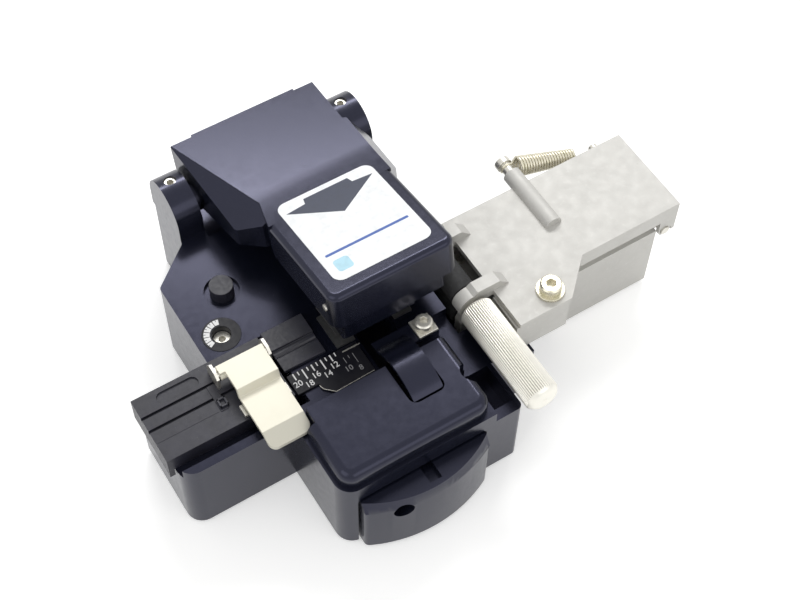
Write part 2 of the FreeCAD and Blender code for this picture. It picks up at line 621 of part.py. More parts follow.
def ruler_plate():
    part = Piece("ruler_plate")
    outline = [
        ("ruler_left", "ruler_step_front"), ("ruler_step", "ruler_step_front"), ("ruler_step", "ruler_step_front - ruler_notch"),
        ("ruler_step + ruler_slant", "ruler_front"), ("ruler_right", "ruler_front"), ("ruler_right", "ruler_back"),
        ("ruler_left", "ruler_back"),
    ]
    return part.pad("XY", "body_top", "body_top + ruler_thick", [outline])


def fibre_adapter():
    """Holder plate for the coated fibre, with two guide grooves and a blank oval recess."""
    part = Piece("fibre_adapter")
    plan = rectangle("wing_left - adapter_over", "adapter_right", "adapter_front", "adapter_back")
    part.pad("XY", "adapter_bottom", "adapter_top", [plan])
    lip = rectangle("wing_left - adapter_over", "wing_left - adapter_lip_gap", "adapter_front", "adapter_back")
    part.pad("XY", "adapter_lip_bottom", "adapter_bottom", [lip])
    for side in ("-", "+"):
        middle = "fibre_line %s groove_spread" % side
        groove = rectangle("wing_left - adapter_over - 1", "adapter_right + 1", middle + " - groove_wide / 2", middle + " + groove_wide / 2")
        part.pocket("XY", "adapter_top - groove_deep", "adapter_top + 1", [groove])
    low, high = "recess_along - recess_wide / 2", "recess_along + recess_wide / 2"
    start = "wing_left - adapter_over + recess_inset + recess_wide / 2"
    stop = start + " + recess_length - recess_wide"
    oval = [(start, low, "recess_wide / 2"), (stop, low), (stop, high, "recess_wide / 2"), (start, high)]
    part.pocket("XY", "adapter_top - recess_deep", "adapter_top + 1", [oval])
    return part


def fibre_guide():
    """Guide block between the clamp and the lid; a fine channel carries the fibre."""
    part = Piece("fibre_guide")
    profile = [
        ("guide_front", "body_top"), ("guide_back", "body_top"), ("guide_back", "guide_top"),
        ("guide_step", "guide_top"), ("guide_step", "guide_step_top"), ("guide_front", "guide_step_top"),
    ]
    part.pad("YZ", "guide_left", "guide_right", [profile])
    channel = [
        ("fibre_line - channel_half", "guide_step_top + 2"), ("fibre_line - channel_half", "guide_step_top"),
        ("fibre_line", "guide_step_top - channel_half"), ("fibre_line + channel_half", "guide_step_top"),
        ("fibre_line + channel_half", "guide_step_top + 2"),
    ]
    return part.pocket("YZ", "guide_left - 1", "guide_right + 1", [channel])


LEFT_LUG = ("clamp_left - clamp_ear - gap - lug_thick", "clamp_left - clamp_ear - gap")
RIGHT_LUG = ("clamp_right + gap", "clamp_right + gap + lug_thick")


def clamp_bracket():
    """Bent steel bracket on the adapter, with an ear for the clamp's pin at either side."""
    part = Piece("clamp_bracket")
    strip = rectangle(LEFT_LUG[0], RIGHT_LUG[1], "lug_strip_front", "lug_back")
    part.pad("XY", "adapter_top", "adapter_top + lug_strip_thick", [strip])
    profile = [
        ("lug_front", "adapter_top"), ("lug_back", "adapter_top"), ("lug_back", "clamp_hinge_level - lug_top / 2"),
        ("lug_back - lug_top", "clamp_hinge_level + lug_top"), ("lug_front + lug_top", "clamp_hinge_level + lug_top"),
        ("lug_front", "clamp_hinge_level"),
    ]
    for left, right in (LEFT_LUG, RIGHT_LUG):
        part.pad("YZ", left, right, [profile])
    pin = [("clamp_hinge_back", "clamp_hinge_level", "clamp_pin_radius")]
    return part.pocket("YZ", LEFT_LUG[0] + " - 1", RIGHT_LUG[1] + " + 1", circles=pin)


def clamp_pin():
    return rod("clamp_pin", "X", "clamp_hinge_back", "clamp_hinge_level", LEFT_LUG[0], RIGHT_LUG[1], "clamp_pin_radius")


def clamp_keeper():
    """Steel strip on the adapter that the clamp's magnet would hold to."""
    return block("clamp_keeper", "clamp_left - keeper_over", "clamp_right + keeper_over",
                 "keeper_front", "keeper_back", "adapter_top", "adapter_top + keeper_thick")


def clamp_pad():
    """Rubber pad under the raised part; it presses the fibre's coating into the grooves."""
    bar = block("clamp_pad_block", "clamp_left + pad_side", "clamp_right - pad_side", "clamp_pad_front",
                "clamp_pad_back", "adapter_top + gap", "clamp_high - clamp_thick")
    return group("clamp_pad", bar)


def fibre_clamp():
    """Thin bent flap; its rear is rolled round the pin, its front drops a step and then to a lip."""
    part = Piece("fibre_clamp")
    rear = "clamp_hinge_back + clamp_knuckle"
    profile = [
        (rear, "clamp_high"), ("clamp_step_back", "clamp_high"), ("clamp_step_front", "clamp_low"),
        ("clamp_knee", "clamp_low"), ("clamp_tip", "clamp_tip_top"), ("clamp_tip", "clamp_tip_top - clamp_thick"),
        ("clamp_knee", "clamp_low - clamp_thick"), ("clamp_step_front + clamp_thick * 0.7", "clamp_low - clamp_thick"),
        ("clamp_step_back + clamp_thick * 0.7", "clamp_high - clamp_thick"), (rear, "clamp_high - clamp_thick"),
    ]
    part.pad("YZ", "clamp_left", "clamp_right", [profile])
    part.fillet("clamp_tip_corner", lambda edge: edge.BoundBox.XLength < NEAR and edge.BoundBox.ZLength > 0.5
                and abs(edge.BoundBox.YMin - value_of("clamp_tip")) < 0.01 and edge.BoundBox.YLength < NEAR)
    ear = rectangle("clamp_left - clamp_ear", "clamp_left + 1", rear + " - clamp_ear_long", rear)
    part.pad("XY", "clamp_high - clamp_thick", "clamp_high", [ear])
    roll = [
        ("clamp_hinge_back - clamp_knuckle / 2", "clamp_high - clamp_thick / 2"),
        ("clamp_hinge_back - clamp_knuckle", "clamp_hinge_level"),
        (rear, "clamp_hinge_level", "clamp_knuckle"), (rear, "clamp_high - clamp_thick / 2"),
    ]
    part.pad("YZ", "clamp_left - clamp_ear", "clamp_right", [roll])
    pin = [("clamp_hinge_back", "clamp_hinge_level", "clamp_pin_radius + fit")]
    return part.pocket("YZ", "clamp_left - clamp_ear - 1", "clamp_right + 1", circles=pin)


def button():
    part = Piece("release_button")
    flange = "button_radius + button_flange"
    return part.revolve([
        ("0", "button_rest"), (flange, "button_rest"), (flange, "button_rest + button_flange_thick"),
        ("button_radius", "button_rest + button_flange_thick"), ("button_radius", "button_top"), ("0", "button_top"),
    ]).at("button_across", "button_along")


def dial_ring():
    part = Piece("dial_ring")
    spot = ("dial_across", "dial_along")
    return part.pad("XY", "body_top - dial_thick", "body_top + dial_proud",
                    circles=[spot + ("dial_radius",), spot + ("dial_screw_radius + fit",)])


def dial_screw():
    length = "dial_screw_long - dial_float - dial_screw_sink"
    part = set_screw("dial_screw", "dial_screw_radius", length, "dial_socket")
    return part.at("dial_across", "dial_along", "body_top - dial_screw_sink")


def guide_rods():
    rods = [rod("guide_" + across, "Y", across, "rod_level", "rod_front", "channel_back + rod_seat", "rod_radius")
            for across in ("rod_left", "rod_right")]
    return group("guide_rods", *rods)


# ------------------------------------------------- fibre seats and upper clamp

def lower_seats():
    made = []
    for left, right in (LEFT_SEAT, RIGHT_SEAT):
        made.append(block("seat_%d" % len(made), left, right, *SEAT_ALONG, "body_top - seat_sunk", "body_top"))
    return group("lower_seats", *made)


def lower_pads():
    made = []
    for left, right in (LEFT_SEAT, RIGHT_SEAT):
        made.append(block("lower_pad_%d" % len(made), left, right, *SEAT_ALONG, "body_top", PAD_TOP))
    return group("lower_pads", *made)


PAD_TOP = "body_top + lower_pad_thick"
UPPER_LOW = PAD_TOP + " + pinch_gap - hinge_level"
BLOCK_LOW = UPPER_LOW + " + upper_pad_thick"


def tip_lid(thing, angle):
    """Stands a lid piece, drawn round the hinge axis, at its rest angle."""
    thing.Placement = FreeCAD.Placement(Vector(), Rotation(Vector(-1, 0, 0), value_of(angle)))
    bind(thing, "Placement.Rotation.Angle", angle)
    return place(thing, "0", "hinge_back", "hinge_level")


def upper_pads():
    made = []
    along = [end + " - hinge_back" for end in SEAT_ALONG]
    for left, right in (LEFT_SEAT, RIGHT_SEAT):
        made.append(block("upper_pad_%d" % len(made), left, right, *along, UPPER_LOW, BLOCK_LOW))
    return tip_lid(group("upper_pads", *made), "lid_ready")


def anvil():
    along = [end + " - hinge_back" for end in SEAT_ALONG]
    bar = block("anvil", "blade_plane - anvil_wide / 2", "blade_plane + anvil_wide / 2", *along,
                BLOCK_LOW + " - anvil_thick", BLOCK_LOW)
    return tip_lid(group("lid_anvil", bar), "lid_ready")


# ------------------------------------------------------------------ the lid

LID_TILT = "(lid_ready + lid_wedge)"


def lid_profile(drop, low):
    """Lid outline seen from the side: level in front, rising gently to the hinge behind."""
    slope = "((lid_rear_top - lid_top) / (lid_bend_place + lid_back))"
    bend_radius = "lid_bend / tan(atan(%s) / 2)" % slope
    return [
        ("-(lid_front + 1)", low), ("lid_back + 1", low), ("lid_back + 1", "lid_rear_top + %s - %s" % (slope, drop)),
        ("-(lid_bend_place - lid_bend)", "lid_top + lid_bend * %s - %s" % (slope, drop)),
        ("-(lid_bend_place + lid_bend)", "lid_top - " + drop, "-(%s)" % bend_radius),
        ("-(lid_front + 1)", "lid_top - " + drop),
    ]


def lid_front_block(name, inset, drop, low, corner):
    """The level front of the lid; Y counts from the hinge."""
    left, right = "lid_left + " + inset, "lid_right - " + inset
    front = "-(lid_front - %s)" % inset
    block_part = Piece(name)
    block_part.pad("XY", low, "lid_top - " + drop, [rectangle(left, right, front, "-lid_jog_front")])
    return block_part.fillet(corner, upright_at((left, front), (right, front)))


def lid_waist_plan(inset):
    """The short run behind the front, whose left side turns in towards the flank."""
    return [
        ("lid_left + " + inset, "-lid_jog_front"), ("lid_right - " + inset, "-lid_jog_front"),
        ("lid_right - " + inset, "-flank_start"), ("flank_left + " + inset, "-flank_start"),
    ]


def lid_rear_plan():
    """The wider rear with its two shoulders, its neck between the ears and its stepped back edge."""
    return [
        ("lid_left", "-lid_left_jog_front"), ("lid_right", "-lid_jog_front"),
        ("lid_shoulder_right", "-lid_jog_back"), ("lid_shoulder_right", "-(lid_neck_front + lid_neck_slant)"),
        ("lid_neck_right", "-lid_neck_front"), ("lid_neck_right", "lid_back - lid_step"),
        ("lid_step_right", "lid_back - lid_step"), ("lid_step_right", "lid_back"), ("lid_step_left", "lid_back"),
        ("lid_step_left", "lid_back - lid_step"), ("lid_shoulder_left", "lid_back - lid_step"),
        ("lid_shoulder_left + lid_shoulder_taper", "-lid_left_jog_back"),
    ]


def lid_inner_plan():
    """Room under the rear, in front of the barrel, one wall inside the outer plan."""
    back = "-(lid_neck_front + lid_neck_slant + lid_wall)"
    return [
        ("lid_left + lid_wall", "-lid_jog_front"), ("lid_right - lid_wall", "-lid_jog_front"),
        ("lid_shoulder_right - lid_wall", "-lid_jog_back"), ("lid_shoulder_right - lid_wall", back),
        ("lid_shoulder_left + lid_shoulder_taper + lid_wall", back),
        ("lid_shoulder_left + lid_shoulder_taper + lid_wall", "-(lid_left_jog_back - lid_wall / 2)"),
        ("lid_left + lid_wall", "-(lid_left_jog_front - lid_wall)"),
    ]


def lid_slice(name, plan, drop, low):
    """What a plan and the side profile have in common."""
    side = Piece(name + "_side")
    side.pad("YZ", "lid_shoulder_left - 5", "lid_shoulder_right + 5", [lid_profile(drop, low)])
    return common(name, plan.body, side.body)


def flank_cutter(name, top_back, top_front, fall, drop):
    """Solid above a sloping flank; its lower face holds the line where the flank meets the top."""
    sign = -1 if top_back.startswith("lid_shoulder_left") else 1
    reach = 14 * sign
    profile = Piece(name + "_profile")
    made = profile.sketch("XZ", "-lid_back", [[
        (top_back, "lid_rear_top - " + drop), ("%s + %d" % (top_back, reach), "lid_rear_top - %s - 14 * %s" % (drop, fall)),
        ("%s + %d" % (top_back, reach), "lid_rear_top + 8"), (top_back, "lid_rear_top + 8"),
    ]])
    swept = doc.addObject("Part::Extrusion", name)
    swept.Base = made
    swept.DirMode = "Custom"
    swept.Solid = True
    swept.LengthFwd = 0
    bind(swept, "Dir.x", "((%s) - (%s)) * 1.3" % (top_front, top_back))
    bind(swept, "Dir.y", "-(lid_back + flank_start) * 1.3")
    bind(swept, "Dir.z", "(lid_top - lid_rear_top) * 1.3")
    return swept


def lid_flanks(name, inset):
    """The two cutters that slope the rear's flanks, moved in by a wall for the inner form."""
    left = "lid_shoulder_left + (%s) / sin(atan(flank_left_fall))" % inset
    right = "lid_right - (%s) / sin(atan(flank_right_fall))" % inset
    left_front = "flank_left + (%s) / sin(atan(flank_left_fall))" % inset
    return (flank_cutter(name + "_left", left, left_front, "flank_left_fall", "0"),
            flank_cutter(name + "_right", right, right, "flank_right_fall", "0"))


def lid_shell():
    rear_plan = lid_rear_plan()
    front = lid_front_block("lid_outer_front", "0", "0", "lid_bottom", "lid_corner")
    back = value_of("-lid_jog_front")
    front.fillet("lid_edge", at_level("lid_top", lambda edge: edge.BoundBox.YMin < back - 0.1))
    waist = Piece("lid_outer_waist_plan")
    waist.pad("XY", "lid_bottom", "lid_rear_top + 2", [lid_waist_plan("0")])
    rear = Piece("lid_outer_rear_plan")
    rear.pad("XY", "lid_bottom", "lid_rear_top + 2", [rear_plan])
    rear.fillet("lid_small_corner", upright_at(rear_plan[2], rear_plan[3], rear_plan[11]))
    outer = fused("lid_outer", front.body, lid_slice("lid_outer_waist", waist, "0", "lid_bottom"),
                  cut("lid_outer_rear", lid_slice("lid_outer_rear_raw", rear, "0", "lid_bottom"),
                      *lid_flanks("lid_outer_flank", "0")))
    low = "lid_bottom - 1"
    inner_front = lid_front_block("lid_inner_front", "lid_wall", "lid_wall", low, "lid_corner - lid_wall / 2")
    inner_waist = Piece("lid_inner_waist_plan")
    inner_waist.pad("XY", low, "lid_rear_top + 2", [lid_waist_plan("lid_wall")])
    inner_rear = Piece("lid_inner_rear_plan")
    inner_rear.pad("XY", low, "lid_rear_top + 2", [lid_inner_plan()])
    inner = fused("lid_inner", inner_front.body, lid_slice("lid_inner_waist", inner_waist, "lid_wall", low),
                  cut("lid_inner_rear", lid_slice("lid_inner_rear_raw", inner_rear, "lid_wall", low),
                      *lid_flanks("lid_inner_flank", "lid_wall")))
    barrel = rod("lid_barrel_solid", "X", "0", "0", "lid_shoulder_left + fit", "lid_neck_right", "lid_barrel")
    bore = rod("lid_bore", "X", "0", "0", "lid_shoulder_left - 1", "lid_neck_right + 1", "hinge_pin_radius + fit")
    bay = rod("lid_spring_bay", "X", "0", "0", "spring_bay_left", "spring_bay_right", "spring_bay_radius")
    pin_hole = rod("lid_pin_hole", "X", "-block_pin_back", "block_pin_level",
                   "lid_left - 2", "lid_right + 2", "block_pin_radius")
    hollow = cut("lid_hollow", outer, inner)
    shell = cut("lid_shell", fused("lid_with_barrel", hollow, barrel), bore, bay, pin_hole)
    return tip_lid(shell, LID_TILT)


def slope_under(back):
    """Level, in the lid's own frame, of the plane that lies flat once the lid is shut."""
    return "((%s) - (%s) * sin(lid_wedge * 1 deg)) / cos(lid_wedge * 1 deg)" % (BLOCK_LOW, back)


def clamp_block():
    part = Piece("upper_clamp_block")
    top = "lid_top - lid_wall"
    profile = [
        ("-block_front", slope_under("block_front") + " + block_chamfer"),
        ("-(block_front - block_chamfer)", slope_under("block_front - block_chamfer")),
        ("-block_back", slope_under("block_back")), ("-block_back", top), ("-block_front", top),
    ]
    left, right = "lid_left + block_side_inset", "lid_right - block_side_inset"
    part.pad("YZ", left, right, [profile])
    part.fillet("block_corner", lambda edge: edge.BoundBox.XLength < NEAR and edge.BoundBox.YLength < NEAR
                and abs(edge.BoundBox.YMin + value_of("block_front")) < 0.01)
    step = [
        ("-(block_front + 1)", slope_under("block_front") + " - 1"),
        ("-(block_front - block_step_deep)", slope_under("block_front") + " - 1"),
        ("-(block_front - block_step_deep)", slope_under("block_front") + " + block_step_tall"),
        ("-(block_front + 1)", slope_under("block_front") + " + block_chamfer + block_step_tall"),
    ]
    part.pocket("YZ", "block_step_left", right + " + 1", [step])
    hole = [("-block_pin_back", "block_pin_level", "block_pin_radius")]
    part.pocket("YZ", left + " - 1", right + " + 1", circles=hole)
    tip_lid(part.body, LID_TILT)
    return part


def block_pin():
    pin = rod("block_pin_rod", "X", "-block_pin_back", "block_pin_level",
              "lid_left - block_pin_proud", "lid_right + block_pin_proud", "block_pin_radius")
    return tip_lid(group("block_pin", pin), LID_TILT)


# ------------------------------------------------------------ slider and blade

BLADE_LEVEL = "body_top + lower_pad_thick - blade_radius"


def slider_handle():
    """Pull handle: a shallow arc in plan, with its front leaning back towards the top."""
    part = Piece("slider_handle")
    left, right = "slot_left + slider_side_gap", "slot_right - slider_side_gap"

    def plan(front, radius):
        return [(left, front), (right, front, radius), (right, "handle_back"), (left, "handle_back")]

    lower = plan("handle_side_front", "handle_radius")
    part.pad("XY", "handle_bottom", "handle_bevel_start", [lower])
    part.fillet("handle_corner", upright_at((left, "handle_side_front"), (right, "handle_side_front")))
    part.loft("handle_bevel_start", "handle_top", lower, plan("handle_top_front", "handle_top_radius"))
    notch = rectangle("grip_notch_left", "grip_notch_left + grip_notch_width", "grip_notch_front", "handle_back - 1")
    part.pocket("XY", "handle_top - grip_notch_depth", "handle_top + 1", [notch])
    hole = [("finger_hole_place", "finger_hole_level", "finger_hole_radius")]
    part.pocket("XZ", "handle_side_front - 6", "handle_side_front - 2 + finger_hole_depth", circles=hole)
    return part


CHEEK_INNER = "(blade_thick / 2 + cheek_gap)"
CHEEK_OUTER = "(blade_thick / 2 + cheek_gap + cheek_thick)"


def slider_carriage():
    """Carriage on the two rods, with a fork that holds the blade's axle."""
    part = Piece("slider_carriage")
    plan = rectangle("carriage_left", "carriage_right", "handle_back", "carriage_back")
    part.pad("XY", "carriage_bottom", "carriage_top", [plan])
    cheek = [
        ("blade_place - cheek_radius", "carriage_top - 1"), ("blade_place + cheek_radius", "carriage_top - 1"),
        ("blade_place + cheek_radius", BLADE_LEVEL),
        ("blade_place + cheek_radius / 2", BLADE_LEVEL + " + cheek_radius"),
        ("blade_place - cheek_radius / 2", BLADE_LEVEL + " + cheek_radius"),
        ("blade_place - cheek_radius", BLADE_LEVEL),
    ]
    part.pad("YZ", "blade_plane - " + CHEEK_OUTER, "blade_plane + " + CHEEK_OUTER, [cheek])
    swing = "(blade_radius + blade_gap)"
    slot = rectangle("blade_plane - " + CHEEK_INNER, "blade_plane + " + CHEEK_INNER,
                     "blade_place - " + swing, "blade_place + " + swing)
    part.pocket("XY", BLADE_LEVEL + " - " + swing, BLADE_LEVEL + " + cheek_radius + 1", [slot])
    axle = [("blade_place", BLADE_LEVEL, "axle_radius")]
    part.pocket("YZ", "blade_plane - %s - 1" % CHEEK_OUTER, "blade_plane + %s + 1" % CHEEK_OUTER, circles=axle)
    bores = [(across, "rod_level", "rod_radius + fit") for across in ("rod_left", "rod_right")]
    return part.pocket("XZ", "handle_back - 1", "carriage_back + 1", circles=bores)


def blade_axle():
    return rod("blade_axle", "X", "blade_place", BLADE_LEVEL,
               "blade_plane - " + CHEEK_OUTER, "blade_plane + " + CHEEK_OUTER, "axle_radius")


def blade_wheel():
    part = Piece("blade_wheel")
    bore = "axle_radius + fit"
    part.revolve([
        (bore, "-blade_thick / 2"), ("blade_radius - blade_bevel", "-blade_thick / 2"),
        ("blade_radius", "0"), ("blade_radius - blade_bevel", "blade_thick / 2"),
        (bore, "blade_thick / 2"),
    ])
    return part.at("blade_plane", "blade_place", BLADE_LEVEL, axis="X")


# ------------------------------------------------------------ scrap collector

COVER_LOW = "bin_rim + cover_gap"
COVER_TOP = COVER_LOW + " + cover_thick"
COVER_FRONT = "bin_front - cover_over"
COVER_BACK = "bin_back + cover_over"
FRONT_ARM = ("roller_front - arm_gap - arm_wide", "roller_front - arm_gap")
BACK_ARM = ("roller_back + arm_gap", "roller_back + arm_gap + arm_wide")
IDLE_LEVEL = "feed_level - 2 * roller_radius - roller_nip"


def scrap_bin():
    """Deep bin on the right and a shallow tray that leads to it from the rollers."""
    part = Piece("scrap_bin")
    part.pad("XY", "bin_bottom", "bin_shoulder", [rectangle("bin_left", "bin_right", "bin_front", "bin_back")])
    upper_front, upper_back = "bin_front + bin_step", "bin_back - bin_step"
    part.pad("XY", "bin_shoulder", "bin_rim", [rectangle("bin_left", "bin_right", upper_front, upper_back)])
    tray = [
        ("tray_left", "tray_front"), ("bin_left - tray_short", "tray_front"), ("bin_left - tray_short + tray_slant", upper_front),
        ("bin_left - tray_short + tray_slant", upper_back), ("tray_left", upper_back),
    ]
    part.pad("XY", "ledge_top", "bin_rim", [tray])
    deep = rectangle("bin_left + bin_wall", "bin_right - bin_wall",
                     upper_front + " + bin_wall", upper_back + " - bin_wall")
    part.pocket("XY", "bin_bottom + bin_wall", "bin_rim + 1", [deep])
    inner = [
        ("tray_left - 1", "pocket_front + bin_wall"), ("tray_left + bin_wall", "pocket_front + bin_wall"),
        ("tray_left + bin_wall", "tray_front + bin_wall"), ("bin_left - tray_short - bin_wall / 2", "tray_front + bin_wall"),
        ("bin_left - tray_short + tray_slant - bin_wall / 2", upper_front + " + bin_wall"),
        ("bin_left - tray_short + tray_slant - bin_wall / 2", upper_back + " - bin_wall"),
        ("tray_left - 1", upper_back + " - bin_wall"),
    ]
    part.pocket("XY", "ledge_top + bin_wall", "bin_rim + 1", [inner])
    part.pocket("XY", "ledge_top - 1", "ledge_top + bin_wall + 1", circles=BRACKET_HOLES)
    for front, back in LUG_SPANS:
        lug = [
            ("bin_right - bin_wall / 2", "cover_hinge_level - cover_lug"), ("cover_hinge_across", "cover_hinge_level - cover_lug"),
            ("cover_hinge_across", "cover_hinge_level + cover_lug", "cover_lug"),
            ("bin_right - bin_wall / 2", "cover_hinge_level + cover_lug"),
        ]
        part.pad("XZ", front, back, [lug])
    bore = [("cover_hinge_across", "cover_hinge_level", "cover_pin_radius")]
    return part.pocket("XZ", upper_front, upper_back, circles=bore)


LUG_SPANS = (
    ("bin_front + bin_step + lug_inset", "bin_front + bin_step + lug_inset + lug_wide"),
    ("bin_back - bin_step - lug_inset - lug_wide", "bin_back - bin_step - lug_inset"),
)


def bracket_screws():
    """Two hexagon-headed screws that hold the tray down on the body's ledge."""
    made = []
    for across, along in BRACKET_SPOTS:
        screw = Piece("bracket_screw_%d" % len(made))
        screw.pad("XY", "-(bin_wall + bracket_screw_bite)", "0", circles=[("0", "0", "bracket_screw_radius")])
        screw.pad("XY", "0", "bracket_screw_tall", [hexagon("bracket_screw_head")])
        screw.at(across, along, "ledge_top + bin_wall")
        made.append(screw.body)
    return group("bracket_screws", *made)


def collector_pin():
    return rod("collector_pin", "Y", "cover_hinge_across", "cover_hinge_level",
               COVER_FRONT + " - cover_pin_proud", COVER_BACK + " + cover_pin_tail", "cover_pin_radius")


def collector_cover():
    part = Piece("collector_cover")
    corner = "bin_left - tray_short + tray_slant"
    plan = [
        ("cover_left", "tray_front - cover_over"), ("bin_left - tray_short", "tray_front - cover_over"), (corner, COVER_FRONT),
        ("cover_right", COVER_FRONT), ("cover_right", COVER_BACK), ("cover_left", COVER_BACK),
    ]
    part.pad("XY", COVER_LOW, COVER_TOP, [plan])
    skirt_low = COVER_LOW + " - cover_skirt"
    part.pad("XY", skirt_low, COVER_LOW, [rectangle(corner, "cover_right", COVER_FRONT, COVER_FRONT + " + cover_flange")])
    part.pad("XY", skirt_low, COVER_LOW, [rectangle(corner, "cover_right", COVER_BACK + " - cover_flange", COVER_BACK)])
    end = rectangle("cover_right - cover_flange", "cover_right", COVER_FRONT, COVER_BACK)
    part.pad("XY", "cover_hinge_level - cover_pin_radius", COVER_LOW, [end])
    ear = [
        ("cover_hinge_across - cover_lug", "cover_hinge_level"),
        ("cover_hinge_across + cover_lug", "cover_hinge_level", "cover_lug"),
        ("cover_right", "cover_hinge_level"), ("cover_right", COVER_LOW), ("cover_hinge_across - cover_lug", COVER_LOW),
    ]
    part.pad("XZ", COVER_FRONT, COVER_FRONT + " + cover_flange", [ear])
    part.pad("XZ", COVER_BACK + " - cover_flange", COVER_BACK, [ear])
    arm = [
        ("roller_across", "feed_level"), ("cover_left + 1", COVER_LOW), ("arm_right", COVER_LOW), ("arm_right", COVER_TOP),
        ("arm_right - arm_rise", COVER_TOP + " + arm_rise"), ("roller_across + 1", COVER_TOP + " + arm_rise"),
        ("roller_across", "feed_level + arm_end_radius"),
    ]
    for front, back in (FRONT_ARM, BACK_ARM):
        part.pad("XZ", front, back, [arm])
        part.pad("XZ", front, back, circles=[("roller_across", "feed_level", "arm_end_radius")])
    part.pad("XZ", "rib_front", "rib_back", circles=[("rib_place", COVER_TOP, "rib_radius")])
    under = rectangle("rib_place - rib_radius - 1", "rib_place + rib_radius + 1", "rib_front - 1", COVER_BACK + " - cover_flange")
    part.pocket("XY", COVER_LOW + " - 4", COVER_LOW, [under])
    bores = [("cover_hinge_across", "cover_hinge_level", "cover_pin_radius + fit")]
    part.pocket("XZ", COVER_FRONT + " - 1", COVER_BACK + " + 1", circles=bores)
    part.pocket("XZ", FRONT_ARM[0] + " - 1", BACK_ARM[1] + " + 1", circles=[("roller_across", "feed_level", "shaft_radius + fit")])
    part.pocket("XZ", "rib_back - rib_pin_deep", "rib_back + 1", circles=[("rib_place", COVER_TOP, "rib_pin_radius")])
    part.pocket("XY", COVER_LOW + " - 1", COVER_TOP + " + 1",
                circles=[("cover_screw_across", "cover_screw_along", "cover_screw_radius")])
    return part


def cover_washer():
    spot = ("cover_screw_across", "cover_screw_along")
    part = Piece("cover_washer")
    return part.pad("XY", COVER_TOP, COVER_TOP + " + cover_washer_thick",
                    circles=[spot + ("cover_washer",), spot + ("cover_screw_radius",)])


def cover_screw():
    part = socket_screw("cover_screw", "cover_screw_radius", "cover_screw_head", "cover_screw_tall",
                        "cover_washer_thick + cover_thick", "cover_socket")
    return part.at("cover_screw_across", "cover_screw_along", COVER_TOP + " + cover_washer_thick")


def spring_post():
    """Grooved pin in the rib's end that the closing spring hooks on."""
    part = Piece("spring_post")
    part.revolve([
        ("0", "-rib_pin_deep"), ("rib_pin_radius", "-rib_pin_deep"), ("rib_pin_radius", "rib_pin_long - rib_pin_cap"),
        ("rib_pin_head", "rib_pin_long - rib_pin_cap"), ("rib_pin_head", "rib_pin_long"), ("0", "rib_pin_long"),
    ])
    return part.at("rib_place", "rib_back", COVER_TOP, axis="Y")


def roller(label, level):
    part = Piece(label)
    spot = ("roller_across", level)
    return part.pad("XZ", "roller_front", "roller_back", circles=[spot + ("roller_radius",), spot + ("shaft_radius",)])


def feed_shaft():
    return rod("feed_shaft", "Y", "roller_across", "feed_level",
               "%s - knob_gap - knob_bore" % FRONT_ARM[0], "%s + shaft_end" % BACK_ARM[1], "shaft_radius")


def feed_knob():
    """Long knob turned from bar, with a chamfered outer end and a blind bore for the shaft."""
    part = Piece("feed_knob")
    part.revolve([
        ("0", "0"), ("knob_radius - knob_chamfer", "0"), ("knob_radius", "knob_chamfer"),
        ("knob_radius", "knob_length - knob_chamfer / 2"), ("knob_radius - knob_chamfer / 2", "knob_length"),
        ("shaft_radius", "knob_length"), ("shaft_radius", "knob_length - knob_bore"), ("0", "knob_length - knob_bore"),
    ])
    return part.at("roller_across", "%s - knob_gap - knob_length" % FRONT_ARM[0], "feed_level", axis="Y")


def roller_posts():
    """Two posts in the roller pocket that carry the idle roller's shaft."""
    posts = []
    spans = (("roller_front - arm_gap - post_thick", "roller_front - arm_gap"), ("roller_back + arm_gap", "roller_back + arm_gap + post_thick"))
    for front, back in spans:
        post = Piece("roller_post_%d" % len(posts))
        outline = [
            ("roller_across - post_wide / 2", "pocket_floor"), ("roller_across + post_wide / 2", "pocket_floor"),
            ("roller_across + post_wide / 2", IDLE_LEVEL), ("roller_across + post_wide / 4", IDLE_LEVEL + " + post_wide / 2"),
            ("roller_across - post_wide / 4", IDLE_LEVEL + " + post_wide / 2"), ("roller_across - post_wide / 2", IDLE_LEVEL),
        ]
        post.pad("XZ", front, back, [outline], [("roller_across", IDLE_LEVEL, "shaft_radius + fit")])
        posts.append(post.body)
    return group("roller_posts", *posts)


def idle_shaft():
    return rod("idle_shaft", "Y", "roller_across", IDLE_LEVEL,
               "roller_front - arm_gap - post_thick", "roller_back + arm_gap + post_thick", "shaft_radius")


# --------------------------------------------------------------- make and write

def node(made):
    return made.body if isinstance(made, Piece) else made


NODES = [node(made) for made in (
    base_pad(), base_housing(), front_deck(), blade_guard(), square_washer(), deck_screw(),
    ear_set_screws(), hinge_pin(), ruler_plate(), fibre_adapter(), fibre_guide(), clamp_bracket(),
    clamp_pin(), clamp_keeper(), fibre_clamp(), clamp_pad(), button(), dial_ring(), dial_screw(), guide_rods(),
    lower_seats(), lower_pads(), upper_pads(), anvil(), lid_shell(), clamp_block(), block_pin(),
    slider_handle(), slider_carriage(), blade_axle(), blade_wheel(),
    scrap_bin(), bracket_screws(), collector_pin(), collector_cover(), cover_washer(),
    cover_screw(), spring_post(), roller("feed_roller", "feed_level"), feed_shaft(), feed_knob(),
    roller_posts(), roller("idle_roller", IDLE_LEVEL), idle_shaft(),
)]
doc.recompute()

for thing in doc.Objects:
    for state in ("Invalid", "Error"):
        if state in thing.State:
            raise ValueError("%s is %s" % (thing.Name, state))
for thing in NODES:
    if thing.Shape.isNull() or not thing.Shape.isValid():
        raise ValueError("no valid shape: " + thing.Label)

os.makedirs("parts", exist_ok=True)
for thing in NODES:
    thing.Shape.exportStep(os.path.join("parts", thing.Label + ".step"))
    print("%-20s solids %d volume %.1f" % (thing.Label, len(thing.Shape.Solids), thing.Shape.Volume))
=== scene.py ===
import json
import math

